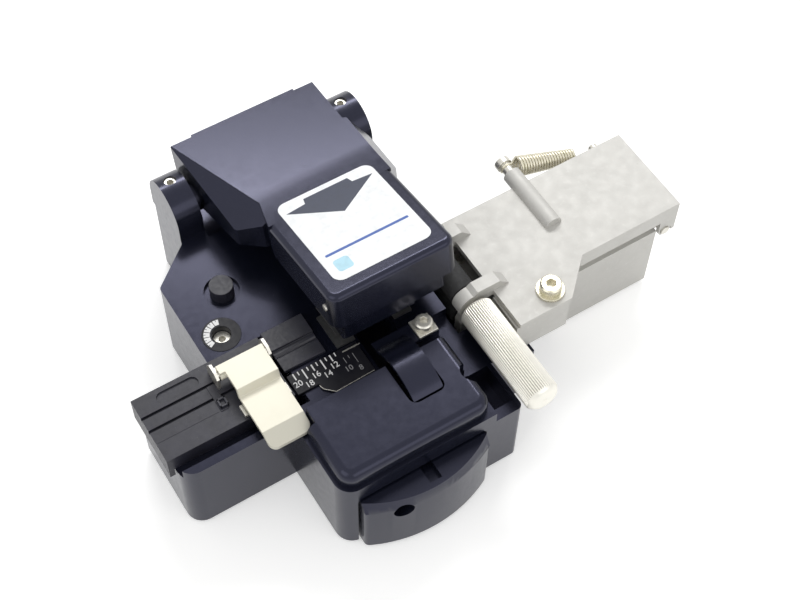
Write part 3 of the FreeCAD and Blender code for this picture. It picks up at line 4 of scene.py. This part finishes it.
import bmesh
import bpy
from mathutils import Matrix, Vector

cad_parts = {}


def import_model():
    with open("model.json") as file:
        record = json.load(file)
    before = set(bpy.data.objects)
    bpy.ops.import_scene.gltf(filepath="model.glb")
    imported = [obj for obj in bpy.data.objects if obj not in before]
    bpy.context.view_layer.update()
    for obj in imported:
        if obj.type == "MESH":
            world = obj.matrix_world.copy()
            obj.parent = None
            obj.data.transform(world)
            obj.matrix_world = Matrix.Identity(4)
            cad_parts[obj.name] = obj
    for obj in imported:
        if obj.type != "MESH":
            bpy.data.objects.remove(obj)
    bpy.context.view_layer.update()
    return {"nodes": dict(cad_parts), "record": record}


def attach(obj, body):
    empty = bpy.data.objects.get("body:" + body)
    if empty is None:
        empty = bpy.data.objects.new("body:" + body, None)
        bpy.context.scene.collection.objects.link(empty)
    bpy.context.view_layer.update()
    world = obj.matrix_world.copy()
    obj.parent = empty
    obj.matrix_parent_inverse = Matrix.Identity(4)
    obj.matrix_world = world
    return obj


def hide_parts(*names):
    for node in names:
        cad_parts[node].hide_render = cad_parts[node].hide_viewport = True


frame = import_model()
MM = 0.001
MOTION = frame["record"]["behaviour"]
BODY_OF = {node: body for body, nodes in MOTION["bodies"].items() for node in nodes}
SLOT_OF = {part["node"]: part["material_slot"] for part in frame["record"]["subparts"]}
PIVOT = {joint["name"]: Vector(joint["pos_m"]) for joint in MOTION["joints"] if joint.get("pos_m")}


# ------------------------------------------------------------------ materials

class Surface:
    """A procedural material: one Principled shader fed by a few noise layers."""

    def __init__(self, name, colour, metallic=0.0, roughness=0.4, ior=1.5):
        self.material = bpy.data.materials.new(name)
        self.material.use_nodes = True
        self.tree = self.material.node_tree
        self.shader = self.tree.nodes["Principled BSDF"]
        self.shader.inputs["Base Color"].default_value = (*colour, 1.0)
        self.shader.inputs["Metallic"].default_value = metallic
        self.shader.inputs["Roughness"].default_value = roughness
        self.shader.inputs["IOR"].default_value = ior
        self.place = self.tree.nodes.new("ShaderNodeTexCoord").outputs["Object"]
        self.colour = None
        self.start = (*colour, 1.0)
        self.height = None

    def node(self, kind):
        return self.tree.nodes.new(kind)

    def join(self, source, target):
        self.tree.links.new(source, target)

    def noise(self, size, detail=2.0, stretch=(1, 1, 1)):
        """Noise whose blotches are about size millimetres across."""
        mapping = self.node("ShaderNodeMapping")
        mapping.inputs["Scale"].default_value = [part / (size * MM) for part in stretch]
        noise = self.node("ShaderNodeTexNoise")
        noise.inputs["Scale"].default_value = 1.0
        noise.inputs["Detail"].default_value = detail
        self.join(self.place, mapping.inputs["Vector"])
        self.join(mapping.outputs["Vector"], noise.inputs["Vector"])
        return noise.outputs["Fac"]

    def along(self, axis):
        """Place along one of the object's own axes, in metres."""
        parts = self.node("ShaderNodeSeparateXYZ")
        self.join(self.place, parts.inputs["Vector"])
        return parts.outputs[axis]

    def ramp(self, source, low, high, start=0.0, end=1.0):
        """Takes the stretch from low to high to the stretch from start to end."""
        made = self.node("ShaderNodeMapRange")
        made.inputs["From Min"].default_value = low
        made.inputs["From Max"].default_value = high
        made.inputs["To Min"].default_value = start
        made.inputs["To Max"].default_value = end
        self.join(source, made.inputs["Value"])
        return made.outputs["Result"]

    def tint(self, factor, colour):
        """Mixes a second colour in where the factor is high."""
        mix = self.node("ShaderNodeMix")
        mix.data_type = "RGBA"
        mix.inputs[6].default_value = self.start
        mix.inputs[7].default_value = (*colour, 1.0)
        if self.colour is not None:
            self.join(self.colour, mix.inputs[6])
        self.join(factor, mix.inputs[0])
        self.colour = mix.outputs[2]
        self.join(self.colour, self.shader.inputs["Base Color"])
        return self

    def vary_roughness(self, size, low, high, detail=2.0, stretch=(1, 1, 1)):
        varied = self.ramp(self.noise(size, detail, stretch), 0.3, 0.7, low, high)
        self.join(varied, self.shader.inputs["Roughness"])
        return self

    def blotch(self, size, colour, low=0.45, high=0.7, detail=3.0):
        return self.tint(self.ramp(self.noise(size, detail), low, high), colour)

    def bump(self, size, height):
        """Surface relief of a given height in millimetres."""
        made = self.node("ShaderNodeBump")
        made.inputs["Strength"].default_value = 1.0
        made.inputs["Distance"].default_value = height * MM
        self.join(self.noise(size), made.inputs["Height"])
        if self.height is not None:
            self.join(self.height, made.inputs["Normal"])
        self.height = made.outputs["Normal"]
        self.join(self.height, self.shader.inputs["Normal"])
        return self

    def paint_groove_shade(self, colour):
        """Mixes a colour in where the surface is hollow: painted shade at the foot of each flute."""
        hollow = self.node("ShaderNodeNewGeometry").outputs["Pointiness"]
        return self.tint(self.ramp(hollow, 0.49, 0.44), colour)


def black_enamel():
    made = Surface("black_enamel", (0.004, 0.005, 0.010), 0.0, 0.22, 1.52)
    made.blotch(9.0, (0.006, 0.007, 0.014), 0.35, 0.75)
    made.blotch(0.12, (0.10, 0.10, 0.13), 0.76, 0.82, 1.0)
    made.vary_roughness(1.4, 0.20, 0.25)
    made.shader.inputs["Specular Tint"].default_value = (0.70, 0.71, 1.0, 1.0)
    return made.bump(0.5, 0.0022).bump(0.14, 0.0010).material


def black_satin():
    made = Surface("black_satin", (0.005, 0.005, 0.009), 0.0, 0.42, 1.34)
    made.blotch(5.0, (0.010, 0.010, 0.014), 0.4, 0.7)
    return made.vary_roughness(0.8, 0.34, 0.5).bump(0.2, 0.004).material


def black_plastic():
    made = Surface("black_plastic", (0.014, 0.014, 0.022), 0.0, 0.45)
    made.blotch(4.0, (0.022, 0.022, 0.034), 0.4, 0.7)
    made.blotch(0.14, (0.12, 0.12, 0.13), 0.74, 0.8, 1.0)
    return made.vary_roughness(0.6, 0.38, 0.52).bump(0.12, 0.006).material


def cream_nickel():
    """Matt plating of the fibre clamp, with painted shade on its tip, which bends down in front of the
    fibre and reflects less light.
    """
    shaded_tip_starts, shaded_tip_ends = -20.9 * MM, -21.1 * MM
    made = Surface("cream_nickel", (0.78, 0.75, 0.63), 0.20, 0.36)
    made.blotch(6.0, (0.73, 0.70, 0.585), 0.5, 0.8)
    # Painted shade on the clamp's downturned tip.
    made.tint(made.ramp(made.along("Y"), shaded_tip_starts, shaded_tip_ends), (0.62, 0.60, 0.51))
    return made.vary_roughness(1.2, 0.32, 0.42, 3.0, (1, 4, 1)).bump(0.25, 0.0010).material


def grey_casting():
    made = Surface("grey_casting", (0.60, 0.59, 0.56), 0.22, 0.52)
    made.blotch(9.0, (0.57, 0.56, 0.53), 0.42, 0.72, 4.0)
    made.blotch(0.9, (0.63, 0.62, 0.59), 0.55, 0.75, 3.0)
    made.blotch(0.35, (0.52, 0.51, 0.48), 0.68, 0.82, 2.0)
    return made.vary_roughness(2.2, 0.50, 0.62, 4.0).bump(0.3, 0.003).material


def bright_steel():
    made = Surface("bright_steel", (0.66, 0.64, 0.58), 0.80, 0.30)
    made.blotch(2.0, (0.56, 0.54, 0.48), 0.5, 0.75)
    return made.vary_roughness(0.5, 0.26, 0.36, 3.0).bump(0.3, 0.0008).material


def knurled_steel():
    made = Surface("knurled_steel", (0.84, 0.82, 0.75), 0.75, 0.32)
    made.blotch(3.0, (0.80, 0.78, 0.71), 0.5, 0.8)
    # Painted shade in the grooves between the flutes.
    made.paint_groove_shade((0.26, 0.25, 0.22))
    return made.vary_roughness(0.6, 0.29, 0.36).bump(0.4, 0.0006).material


def zinc_brass():
    made = Surface("zinc_brass", (0.74, 0.70, 0.57), 0.7, 0.34)
    made.blotch(1.2, (0.64, 0.61, 0.46), 0.45, 0.7)
    made.blotch(0.7, (0.72, 0.64, 0.54), 0.6, 0.8)
    return made.vary_roughness(0.4, 0.2, 0.36).bump(0.1, 0.0015).material


def black_rubber():
    made = Surface("black_rubber", (0.022, 0.022, 0.023), 0.0, 0.75)
    made.blotch(2.0, (0.035, 0.035, 0.036), 0.45, 0.7)
    return made.vary_roughness(0.6, 0.65, 0.85).bump(0.15, 0.01).material


def carbide():
    made = Surface("carbide", (0.30, 0.30, 0.32), 0.9, 0.2)
    made.blotch(1.5, (0.38, 0.38, 0.40), 0.4, 0.7)
    return made.vary_roughness(0.4, 0.14, 0.28, 3.0).bump(0.08, 0.0008).material


MATERIALS = {make.__name__: make() for make in (
    black_enamel, black_satin, black_plastic, cream_nickel, grey_casting,
    bright_steel, zinc_brass, black_rubber, carbide,
)}


def paint(name, colour, roughness, grain=0.004):
    made = Surface(name, colour, 0.0, roughness)
    made.blotch(1.5, [part * 0.88 for part in colour], 0.45, 0.75)
    return made.vary_roughness(0.5, roughness - 0.06, roughness + 0.08).bump(0.15, grain).material


WHITE_INK = paint("white_ink", (0.86, 0.86, 0.86), 0.5)
# Painted shadow: white print greyed where the lid shades the fine marks of the scale.
WHITE_INK_IN_PAINTED_SHADE = paint("white_ink_in_painted_shade", (0.30, 0.30, 0.31), 0.5)
LABEL_WHITE = paint("label_white", (0.93, 0.95, 0.96), 0.4, 0.001)
LABEL_NAVY = paint("label_navy", (0.020, 0.028, 0.060), 0.35, 0.002)
LABEL_BLUE = paint("label_blue", (0.035, 0.11, 0.42), 0.35, 0.002)
LABEL_PALE = paint("label_pale", (0.46, 0.74, 0.86), 0.35, 0.002)


# ------------------------------------------------------------- making pieces

PRINT_SUNK = 0.01
PRINT_THICK = 0.03


def new_piece(name, mesh, body, material, smooth=True):
    piece = bpy.data.objects.new(name, mesh)
    bpy.context.scene.collection.objects.link(piece)
    mesh.materials.clear()
    mesh.materials.append(material)
    if smooth:
        mesh.polygons.foreach_set("use_smooth", [True] * len(mesh.polygons))
    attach(piece, body)
    return piece


SHARP_ANGLE = 30.0
SHARP_ANGLE_OF = {"fibre_clamp": 11.0, "clamp_bracket": 20.0}


def round_edges(piece, width, segments, angle=SHARP_ANGLE):
    """Rounds each edge that folds by more than the angle in degrees; the width is in millimetres."""
    bevel = piece.modifiers.new("rounded_edges", "BEVEL")
    bevel.width = width * MM
    bevel.segments = segments
    bevel.limit_method = "ANGLE"
    bevel.angle_limit = math.radians(angle)
    bevel.harden_normals = True
    bevel.use_clamp_overlap = True
    weighted = piece.modifiers.new("even_normals", "WEIGHTED_NORMAL")
    weighted.keep_sharp = True


def finished(node, width):
    """Stands for a CAD node with the same shape, its sharp edges broken by a small radius."""
    source = frame["nodes"][node]
    shape = bmesh.new()
    shape.from_mesh(source.data)
    bmesh.ops.remove_doubles(shape, verts=shape.verts, dist=0.002 * MM)
    flat = math.radians(0.4)
    bmesh.ops.dissolve_limit(shape, angle_limit=flat, verts=shape.verts, edges=shape.edges)
    mesh = bpy.data.meshes.new(node + "_finished")
    shape.to_mesh(mesh)
    shape.free()
    for name in ("custom_normal", "sharp_face", "sharp_edge"):
        if name in mesh.attributes:
            mesh.attributes.remove(mesh.attributes[name])
    slot = SLOT_OF[node]
    piece = new_piece(node + "_finished", mesh, BODY_OF[node], MATERIALS[slot])
    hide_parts(node)
    round_edges(piece, width, 3, SHARP_ANGLE_OF.get(node, SHARP_ANGLE))


# Radius of the broken edges in millimetres. A node that isn't here keeps its CAD mesh.
ROUNDED = {
    "base_housing": 0.30, "front_deck": 0.25, "blade_guard": 0.18, "lid_shell": 0.22,
    "upper_clamp_block": 0.3, "slider_handle": 0.35, "slider_carriage": 0.2, "scrap_bin": 0.3,
    "collector_cover": 0.22, "fibre_adapter": 0.12, "fibre_guide": 0.12, "fibre_clamp": 0.14,
    "ruler_plate": 0.1, "base_pad": 0.2, "square_washer": 0.12, "deck_screw": 0.12,
    "cover_screw": 0.15, "cover_washer": 0.12, "spring_post": 0.15, "clamp_bracket": 0.15,
    "clamp_keeper": 0.12, "clamp_pad": 0.15, "clamp_pin": 0.15, "collector_pin": 0.15,
    "block_pin": 0.12, "dial_ring": 0.08, "dial_screw": 0.08, "ear_set_screws": 0.1,
    "release_button": 0.12,
}


def dress_cad():
    for node, thing in frame["nodes"].items():
        if node in ROUNDED:
            finished(node, ROUNDED[node])
            continue
        thing.data.materials.clear()
        thing.data.materials.append(MATERIALS[SLOT_OF[node]])


def prism(outline, low, high):
    """Closed mesh of an outline in millimetres, from one level to another."""
    shape = bmesh.new()
    under = [shape.verts.new((x * MM, y * MM, low * MM)) for x, y in outline]
    over = [shape.verts.new((x * MM, y * MM, high * MM)) for x, y in outline]
    shape.faces.new(under[::-1])
    shape.faces.new(over)
    count = len(outline)
    for index in range(count):
        following = (index + 1) % count
        shape.faces.new((under[index], under[following], over[following], over[index]))
    return shape


def rounded_box_outline(left, right, front, back, radius, steps=8):
    """Outline of a rectangle whose corners are arcs of the given steps."""
    corners = (
        (right - radius, front + radius, -90), (right - radius, back - radius, 0),
        (left + radius, back - radius, 90), (left + radius, front + radius, 180),
    )
    points = []
    for x, y, start in corners:
        for step in range(steps + 1):
            turn = math.radians(start + 90 * step / steps)
            points.append((x + radius * math.cos(turn), y + radius * math.sin(turn)))
    return points


def skin(shape, rings):
    """Joins a row of equal rings of points into one skin with flat ends."""
    count = len(rings[0])
    for near, far in zip(rings, rings[1:]):
        for step in range(count):
            following = (step + 1) % count
            shape.faces.new((near[step], near[following], far[following], far[step]))
    shape.faces.new(rings[0][::-1])
    shape.faces.new(rings[-1])


def mesh_of(shape, name, matrix=None):
    """Turns a bmesh into a mesh with its faces outwards, moved by the matrix."""
    if matrix is not None:
        bmesh.ops.transform(shape, matrix=matrix, verts=shape.verts)
    bmesh.ops.recalc_face_normals(shape, faces=shape.faces)
    mesh = bpy.data.meshes.new(name)
    shape.to_mesh(mesh)
    shape.free()
    return mesh


def flat_piece(name, outlines, low, high, body, material, matrix=None, radius=0.0):
    """One piece of all the outlines, from one level to another, with its edges rounded."""
    whole = bmesh.new()
    for outline in outlines:
        shape = prism(outline, low, high)
        part = bpy.data.meshes.new("part")
        shape.to_mesh(part)
        shape.free()
        whole.from_mesh(part)
        bpy.data.meshes.remove(part)
    piece = new_piece(name, mesh_of(whole, name, matrix), body, material, smooth=False)
    if radius:
        round_edges(piece, radius, 2)


def numerals(name, words, height, level, ink):
    """Printed numerals on the body: words holds (text, x, y), centred on x with the baseline at y."""
    cap_share = 0.7
    whole = bmesh.new()
    for text, x, y in words:
        curve = bpy.data.curves.new("glyph", "FONT")
        curve.body = text
        curve.size = height * MM / cap_share
        curve.align_x = "CENTER"
        curve.extrude = PRINT_THICK * MM / 2
        curve.offset = 0.012 * height * MM
        curve.resolution_u = 4
        holder = bpy.data.objects.new("glyph", curve)
        bpy.context.scene.collection.objects.link(holder)
        bpy.context.view_layer.update()
        mesh = bpy.data.meshes.new_from_object(holder)
        mesh.transform(Matrix.Translation((x * MM, y * MM, (level + PRINT_THICK / 2) * MM)))
        whole.from_mesh(mesh)
        bpy.data.objects.remove(holder)
        bpy.data.curves.remove(curve)
        bpy.data.meshes.remove(mesh)
    new_piece(name, mesh_of(whole, name), "base", ink, smooth=False)


def tube(name, path, radius, body, material, sides=10):
    """Wire along a list of points in millimetres, with closed ends."""
    shape = bmesh.new()
    rings = []
    normal = None
    count = len(path)
    for index in range(count):
        ahead = path[min(index + 1, count - 1)] - path[max(index - 1, 0)]
        ahead.normalize()
        if normal is None:
            normal = ahead.orthogonal().normalized()
        normal = (normal - ahead * normal.dot(ahead)).normalized()
        side = ahead.cross(normal)
        ring = []
        for step in range(sides):
            turn = 2 * math.pi * step / sides
            spot = path[index] + (normal * math.cos(turn) + side * math.sin(turn)) * radius
            ring.append(shape.verts.new(spot * MM))
        rings.append(ring)
    skin(shape, rings)
    new_piece(name, mesh_of(shape, name), body, material)


# ------------------------------------------------------------- lid and label

LID_TILT = math.radians(11.1)
ON_LID = Matrix.Translation(PIVOT["lid_hinge"]) @ Matrix.Rotation(LID_TILT, 4, Vector((-1, 0, 0)))


def lid_label():
    """Blank rounded sticker on the lid, with a plain press arrow and a ruled line."""
    lid_top = 7.2
    face = lid_top + 0.10
    sticker = rounded_box_outline(-3.4, 17.65, -44.6, -20.3, 2.0)
    flat_piece("lid_label", [sticker], lid_top - 0.02, face, "lid", LABEL_WHITE,
               ON_LID, 0.03)
    arrow = [
        (-2.4, -23.4), (7.15, -29.2), (16.7, -23.4), (12.4, -23.0),
        (12.0, -21.6), (2.3, -21.6), (1.9, -23.0),
    ]
    printed = (
        ("label_arrow", arrow, LABEL_NAVY),
        ("label_rule", rounded_box_outline(-1.9, 16.1, -37.9, -37.3, 0.25, 4), LABEL_BLUE),
        ("label_patch", rounded_box_outline(-1.6, 1.6, -42.6, -39.4, 0.7, 4), LABEL_PALE),
    )
    for name, outline, ink in printed:
        flat_piece(name, [outline], face - PRINT_SUNK, face + 0.025, "lid", ink, ON_LID)


# --------------------------------------------------------- ruler and the dial

def tick(x, half, start, length):
    """Outline of one mark on the ruler, from its start towards the front."""
    end = start - length
    return [(x - half, end), (x + half, end), (x + half, start), (x - half, start)]


def ruler_marks():
    """Scale on the plate in millimetres: bold from 20 to 11, fine from 10 to 8 in painted shadow, the white
    print greyed where the lid shades it.
    """
    plate_top = 22.6
    zero = 4.9
    bold_start, fine_start = -11.95, -13.8
    bold = []
    for number in range(20, 10, -1):
        even = number % 2 == 0
        length = 2.3 if number in (18, 14) else 1.5 if even else 0.85
        bold.append(tick(zero - number, 0.14 if even else 0.11, bold_start, length))
    fine_lengths = {10: 1.4, 9: 0.7, 8: 2.3}
    fine = [tick(zero - number, 0.06, fine_start, length) for number, length in fine_lengths.items()]
    low, high = plate_top - PRINT_SUNK, plate_top + PRINT_THICK
    flat_piece("ruler_ticks", bold, low, high, "base", WHITE_INK)
    # Fine marks greyed as painted shadow of the lid.
    flat_piece("ruler_fine_ticks", fine, low, high, "base", WHITE_INK_IN_PAINTED_SHADE)
    near, far = -14.95, -16.0
    bold_words = [("20", -15.2, near), ("18", -13.3, far), ("16", -11.3, near), ("14", -9.3, far),
                  ("12", -7.3, near)]
    numerals("ruler_numbers", bold_words, 1.25, plate_top, WHITE_INK)
    fine_words = [("10", -5.3, -16.9), ("8", -3.2, -17.9)]
    numerals("ruler_fine_numbers", fine_words, 1.15, plate_top, WHITE_INK_IN_PAINTED_SHADE)


def dial_marks():
    """White band round the upper left of the dial, cut into fields, with a dark tick in each."""
    middle = PIVOT["dial_turn"].xy / MM
    ring_top = 22.2
    inner, outer = 2.25, 3.45
    first, last, fields = 72.0, 210.0, 6
    gap = 3.0
    wide = (last - first) / fields
    band, ticks = [], []
    for index in range(fields):
        start = first + wide * index + gap / 2
        arc = [math.radians(start + (wide - gap) * step / 4) for step in range(5)]
        rim = [(middle.x + outer * math.cos(turn), middle.y + outer * math.sin(turn)) for turn in arc]
        foot = [(middle.x + inner * math.cos(turn), middle.y + inner * math.sin(turn)) for turn in arc]
        band.append(rim + foot[::-1])
        turn = math.radians(first + wide * (index + 0.5))
        along = Vector((math.cos(turn), math.sin(turn)))
        across = Vector((-along.y, along.x)) * 0.06
        near, far = middle + along * (outer - 0.40), middle + along * (outer + 0.01)
        ticks.append([tuple(spot) for spot in (near + across, near - across, far - across, far + across)])
    low, high = ring_top - PRINT_SUNK, ring_top + PRINT_THICK
    flat_piece("dial_band", band, low, high, "base", WHITE_INK)
    flat_piece("dial_ticks", ticks, high - PRINT_SUNK, high + 0.015, "base", LABEL_NAVY)


# ----------------------------------------------------------------- feed knob

def feed_knob():
    """Straight-knurled knob on the upper roller's shaft, with a centre mark in its end."""
    middle = PIVOT["feed_roller_turn"].xz / MM
    front, back, radius = -41.85, -18.25, 3.58
    flutes, points = 46, 8
    deep = 0.26
    fluted_from = 3.2
    around = flutes * points
    dimple = [(front + 0.28, 0.22), (front + 0.02, 0.48), (front, 0.62)]
    dished_end = [(front, 2.2), (front + 0.05, 2.6), (front + 0.30, 2.95), (front + 0.70, 3.3)]
    grip = [(front + 0.95, 3.45), (front + 1.10, radius), (back - 0.55, radius), (back - 0.30, 3.46)]
    far_end = [(back - 0.05, 3.2), (back, 3.0), (back, 1.0)]
    shape = bmesh.new()
    rings = []
    for along, reach in dimple + dished_end + grip + far_end:
        ring = []
        for step in range(around):
            turn = 2 * math.pi * step / around
            groove = radius - deep * (0.5 - 0.5 * math.cos(turn * flutes)) ** 2
            out = min(reach, groove) if reach > fluted_from else reach
            x, z = middle.x + out * math.cos(turn), middle.y + out * math.sin(turn)
            ring.append(shape.verts.new((x * MM, along * MM, z * MM)))
        rings.append(ring)
    skin(shape, rings)
    mesh = mesh_of(shape, "feed_knob_knurled")
    piece = new_piece("feed_knob_knurled", mesh, "feed", knurled_steel())
    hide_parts("feed_knob")


# ---------------------------------------------------- trim on the fibre holder

def holder_trim(name, outline, low, high, radius):
    flat_piece(name, [outline], low, high, "base", MATERIALS["black_plastic"],
               radius=radius)


def holder_clip():
    """Small square stop at the end of the holder's grooves, with a hollow in its top."""
    plinth = rounded_box_outline(-30.3, -28.7, -12.0, -6.0, 0.15, 3)
    holder_trim("clip_plinth", plinth, 22.45, 22.64, 0.06)
    left, right, front, back = -30.1, -28.3, -11.5, -9.5
    wall = 0.42
    sides = (
        (left, right, front, front + wall), (left, right, back - wall, back),
        (left, left + wall, front, back), (right - wall, right, front, back),
    )
    for index, side in enumerate(sides):
        holder_trim("clip_wall_%d" % index, rounded_box_outline(*side, 0.1, 2), 22.6, 23.15, 0.08)
    ridge = rounded_box_outline(-43.4, -30.6, -11.78, -11.58, 0.05, 2)
    holder_trim("holder_ridge", ridge, 22.48, 22.56, 0.02)


def ruler_edges():
    """Painted highlights on the printed plate: thin bright steel strips along its front edge and a short
    one behind the fine marks.
    """
    steel = MATERIALS["bright_steel"]
    strip = rounded_box_outline(-4.6, -0.7, -12.78, -12.5, 0.06, 2)
    # Painted highlight: a short bright strip behind the fine marks.
    flat_piece("painted_highlight_strip", [strip], 22.55, 22.68, "base", steel, radius=0.03)
    corners = [Vector(spot) for spot in ((-12.0, -16.75), (-11.75, -17.75), (-9.95, -19.5), (-1.4, -19.25))]
    highlight_strips = []
    for start, end in zip(corners, corners[1:]):
        ahead = (end - start).normalized()
        side = Vector((-ahead.y, ahead.x)) * 0.11
        highlight_strips.append([tuple(spot) for spot in (start, end, end + side, start + side)])
    # Painted highlight along the plate's front edge.
    flat_piece("painted_edge_highlight", highlight_strips, 22.57, 22.63, "base", steel)


# -------------------------------------------------------------------- springs

def cover_spring():
    """Closing spring from the grooved post to the cover's hinge pin, narrower towards the pin."""
    start, end = Vector((45.7, 6.2, 25.0)), Vector((68.0, 4.4, 17.8))
    wire, hook_radius = 0.30, 1.25
    turns, steps_per_turn = 20, 18
    wide, narrowing = 1.95, 0.65
    coil_start, coil_share = 2.6, 0.62
    ahead = (end - start).normalized()
    side = ahead.orthogonal().normalized()
    other = ahead.cross(side)
    coil_length = (end - start).length * coil_share
    steps = turns * steps_per_turn
    coil = []
    for step in range(steps + 1):
        share = step / steps
        reach = wide - narrowing * share
        turn = 2 * math.pi * turns * share
        along = coil_start + coil_length * share
        coil.append(start + ahead * along + side * reach * math.cos(turn) + other * reach * math.sin(turn))
    hook_turns = (3.6, 3.0, 2.4, 1.8, 1.2, 0.6)
    hook = [start + Vector((math.cos(turn), 0, math.sin(turn))) * hook_radius for turn in hook_turns]
    tail = [
        Vector((62.6, 4.2, 18.6)), Vector((63.6, 3.6, 18.0)),
        Vector((65.8, 3.3, 18.0)), Vector((67.4, 3.2, 18.9)),
    ]
    tube("cover_spring", hook + coil + tail, wire, "collector_lid", MATERIALS["zinc_brass"])


# ------------------------------------------------------------ floor and lights

def rays_that_see_white(tree):
    """1 for camera, glossy and transmission rays and 0 for the rays that light the object."""
    path = tree.nodes.new("ShaderNodeLightPath")
    rays = path.outputs["Is Camera Ray"]
    for kind in ("Is Glossy Ray", "Is Transmission Ray"):
        either = tree.nodes.new("ShaderNodeMath")
        either.operation = "MAXIMUM"
        tree.links.new(rays, either.inputs[0])
        tree.links.new(path.outputs[kind], either.inputs[1])
        rays = either.outputs[0]
    return rays


def floor():
    """Pale paper that keeps the object's shadow and looks a little brighter to the camera."""
    shape = bmesh.new()
    bmesh.ops.create_grid(shape, x_segments=1, y_segments=1, size=2.5)
    mesh = bpy.data.meshes.new("floor")
    shape.to_mesh(mesh)
    shape.free()
    made = bpy.data.objects.new("floor", mesh)
    bpy.context.scene.collection.objects.link(made)
    material = bpy.data.materials.new("floor_paper")
    material.use_nodes = True
    tree = material.node_tree
    shader = tree.nodes["Principled BSDF"]
    shader.inputs["Base Color"].default_value = (0.93, 0.93, 0.92, 1)
    shader.inputs["Roughness"].default_value = 0.9
    lift = tree.nodes.new("ShaderNodeMath")
    lift.operation = "MULTIPLY"
    lift.inputs[1].default_value = 0.40
    tree.links.new(rays_that_see_white(tree), lift.inputs[0])
    shader.inputs["Emission Color"].default_value = (1, 1, 1, 1)
    tree.links.new(lift.outputs[0], shader.inputs["Emission Strength"])
    mesh.materials.append(material)


def world():
    """Even studio light, and plain white wherever the background itself is seen."""
    made = bpy.data.worlds.new("studio")
    bpy.context.scene.world = made
    made.use_nodes = True
    tree = made.node_tree
    ground = tree.nodes["Background"]
    ground.inputs["Color"].default_value = (1, 1, 1, 1)
    strength = tree.nodes.new("ShaderNodeMapRange")
    strength.inputs["To Min"].default_value = 0.54
    strength.inputs["To Max"].default_value = 1.0
    tree.links.new(rays_that_see_white(tree), strength.inputs["Value"])
    tree.links.new(strength.outputs["Result"], ground.inputs["Strength"])


def softbox(name, direction, distance, width, height, power):
    """Rectangular lamp that looks at the object from a direction; sizes are in metres."""
    lamp = bpy.data.lights.new(name, "AREA")
    lamp.shape = "RECTANGLE"
    lamp.size = width
    lamp.size_y = height
    lamp.energy = power
    holder = bpy.data.objects.new(name, lamp)
    bpy.context.scene.collection.objects.link(holder)
    aim = Vector(direction).normalized()
    target = Vector((0.01, 0.0, 0.015))
    holder.location = target + aim * distance
    holder.rotation_euler = aim.to_track_quat("Z", "Y").to_euler()


def camera():
    """Camera at the photograph's viewing angle."""
    azimuth, elevation, roll = math.radians(32.97), math.radians(57.02), math.radians(1.26)
    level = Vector((math.sin(azimuth), math.cos(azimuth), 0)) * math.cos(elevation)
    ahead = level - Vector((0, 0, math.sin(elevation)))
    right = Vector((math.cos(azimuth), -math.sin(azimuth), 0))
    up = right.cross(ahead)
    rolled_right = right * math.cos(roll) + up * math.sin(roll)
    rolled_up = up * math.cos(roll) - right * math.sin(roll)
    lens = bpy.data.cameras.new("camera")
    lens.lens = 68.94
    lens.sensor_width = 36.0
    lens.clip_start = 0.01
    lens.clip_end = 20.0
    holder = bpy.data.objects.new("camera", lens)
    bpy.context.scene.collection.objects.link(holder)
    place = Vector((-77.3, -144.5, 272.7)) * MM
    turn = Matrix((rolled_right, rolled_up, -ahead)).transposed().to_4x4()
    holder.matrix_world = Matrix.Translation(place) @ turn
    bpy.context.scene.camera = holder


dress_cad()
lid_label()
ruler_marks()
dial_marks()
feed_knob()
holder_clip()
ruler_edges()
cover_spring()

floor()
world()
softbox("key", (0.354, 0.551, 0.745), 0.95, 0.62, 0.17, 4.1)
softbox("left", (-0.90, -0.15, 0.75), 0.95, 0.70, 0.60, 1.4)
softbox("front", (0.25, -0.90, 0.62), 1.0, 0.9, 0.5, 1.4)
camera()
bpy.context.scene.view_settings.view_transform = "Standard"
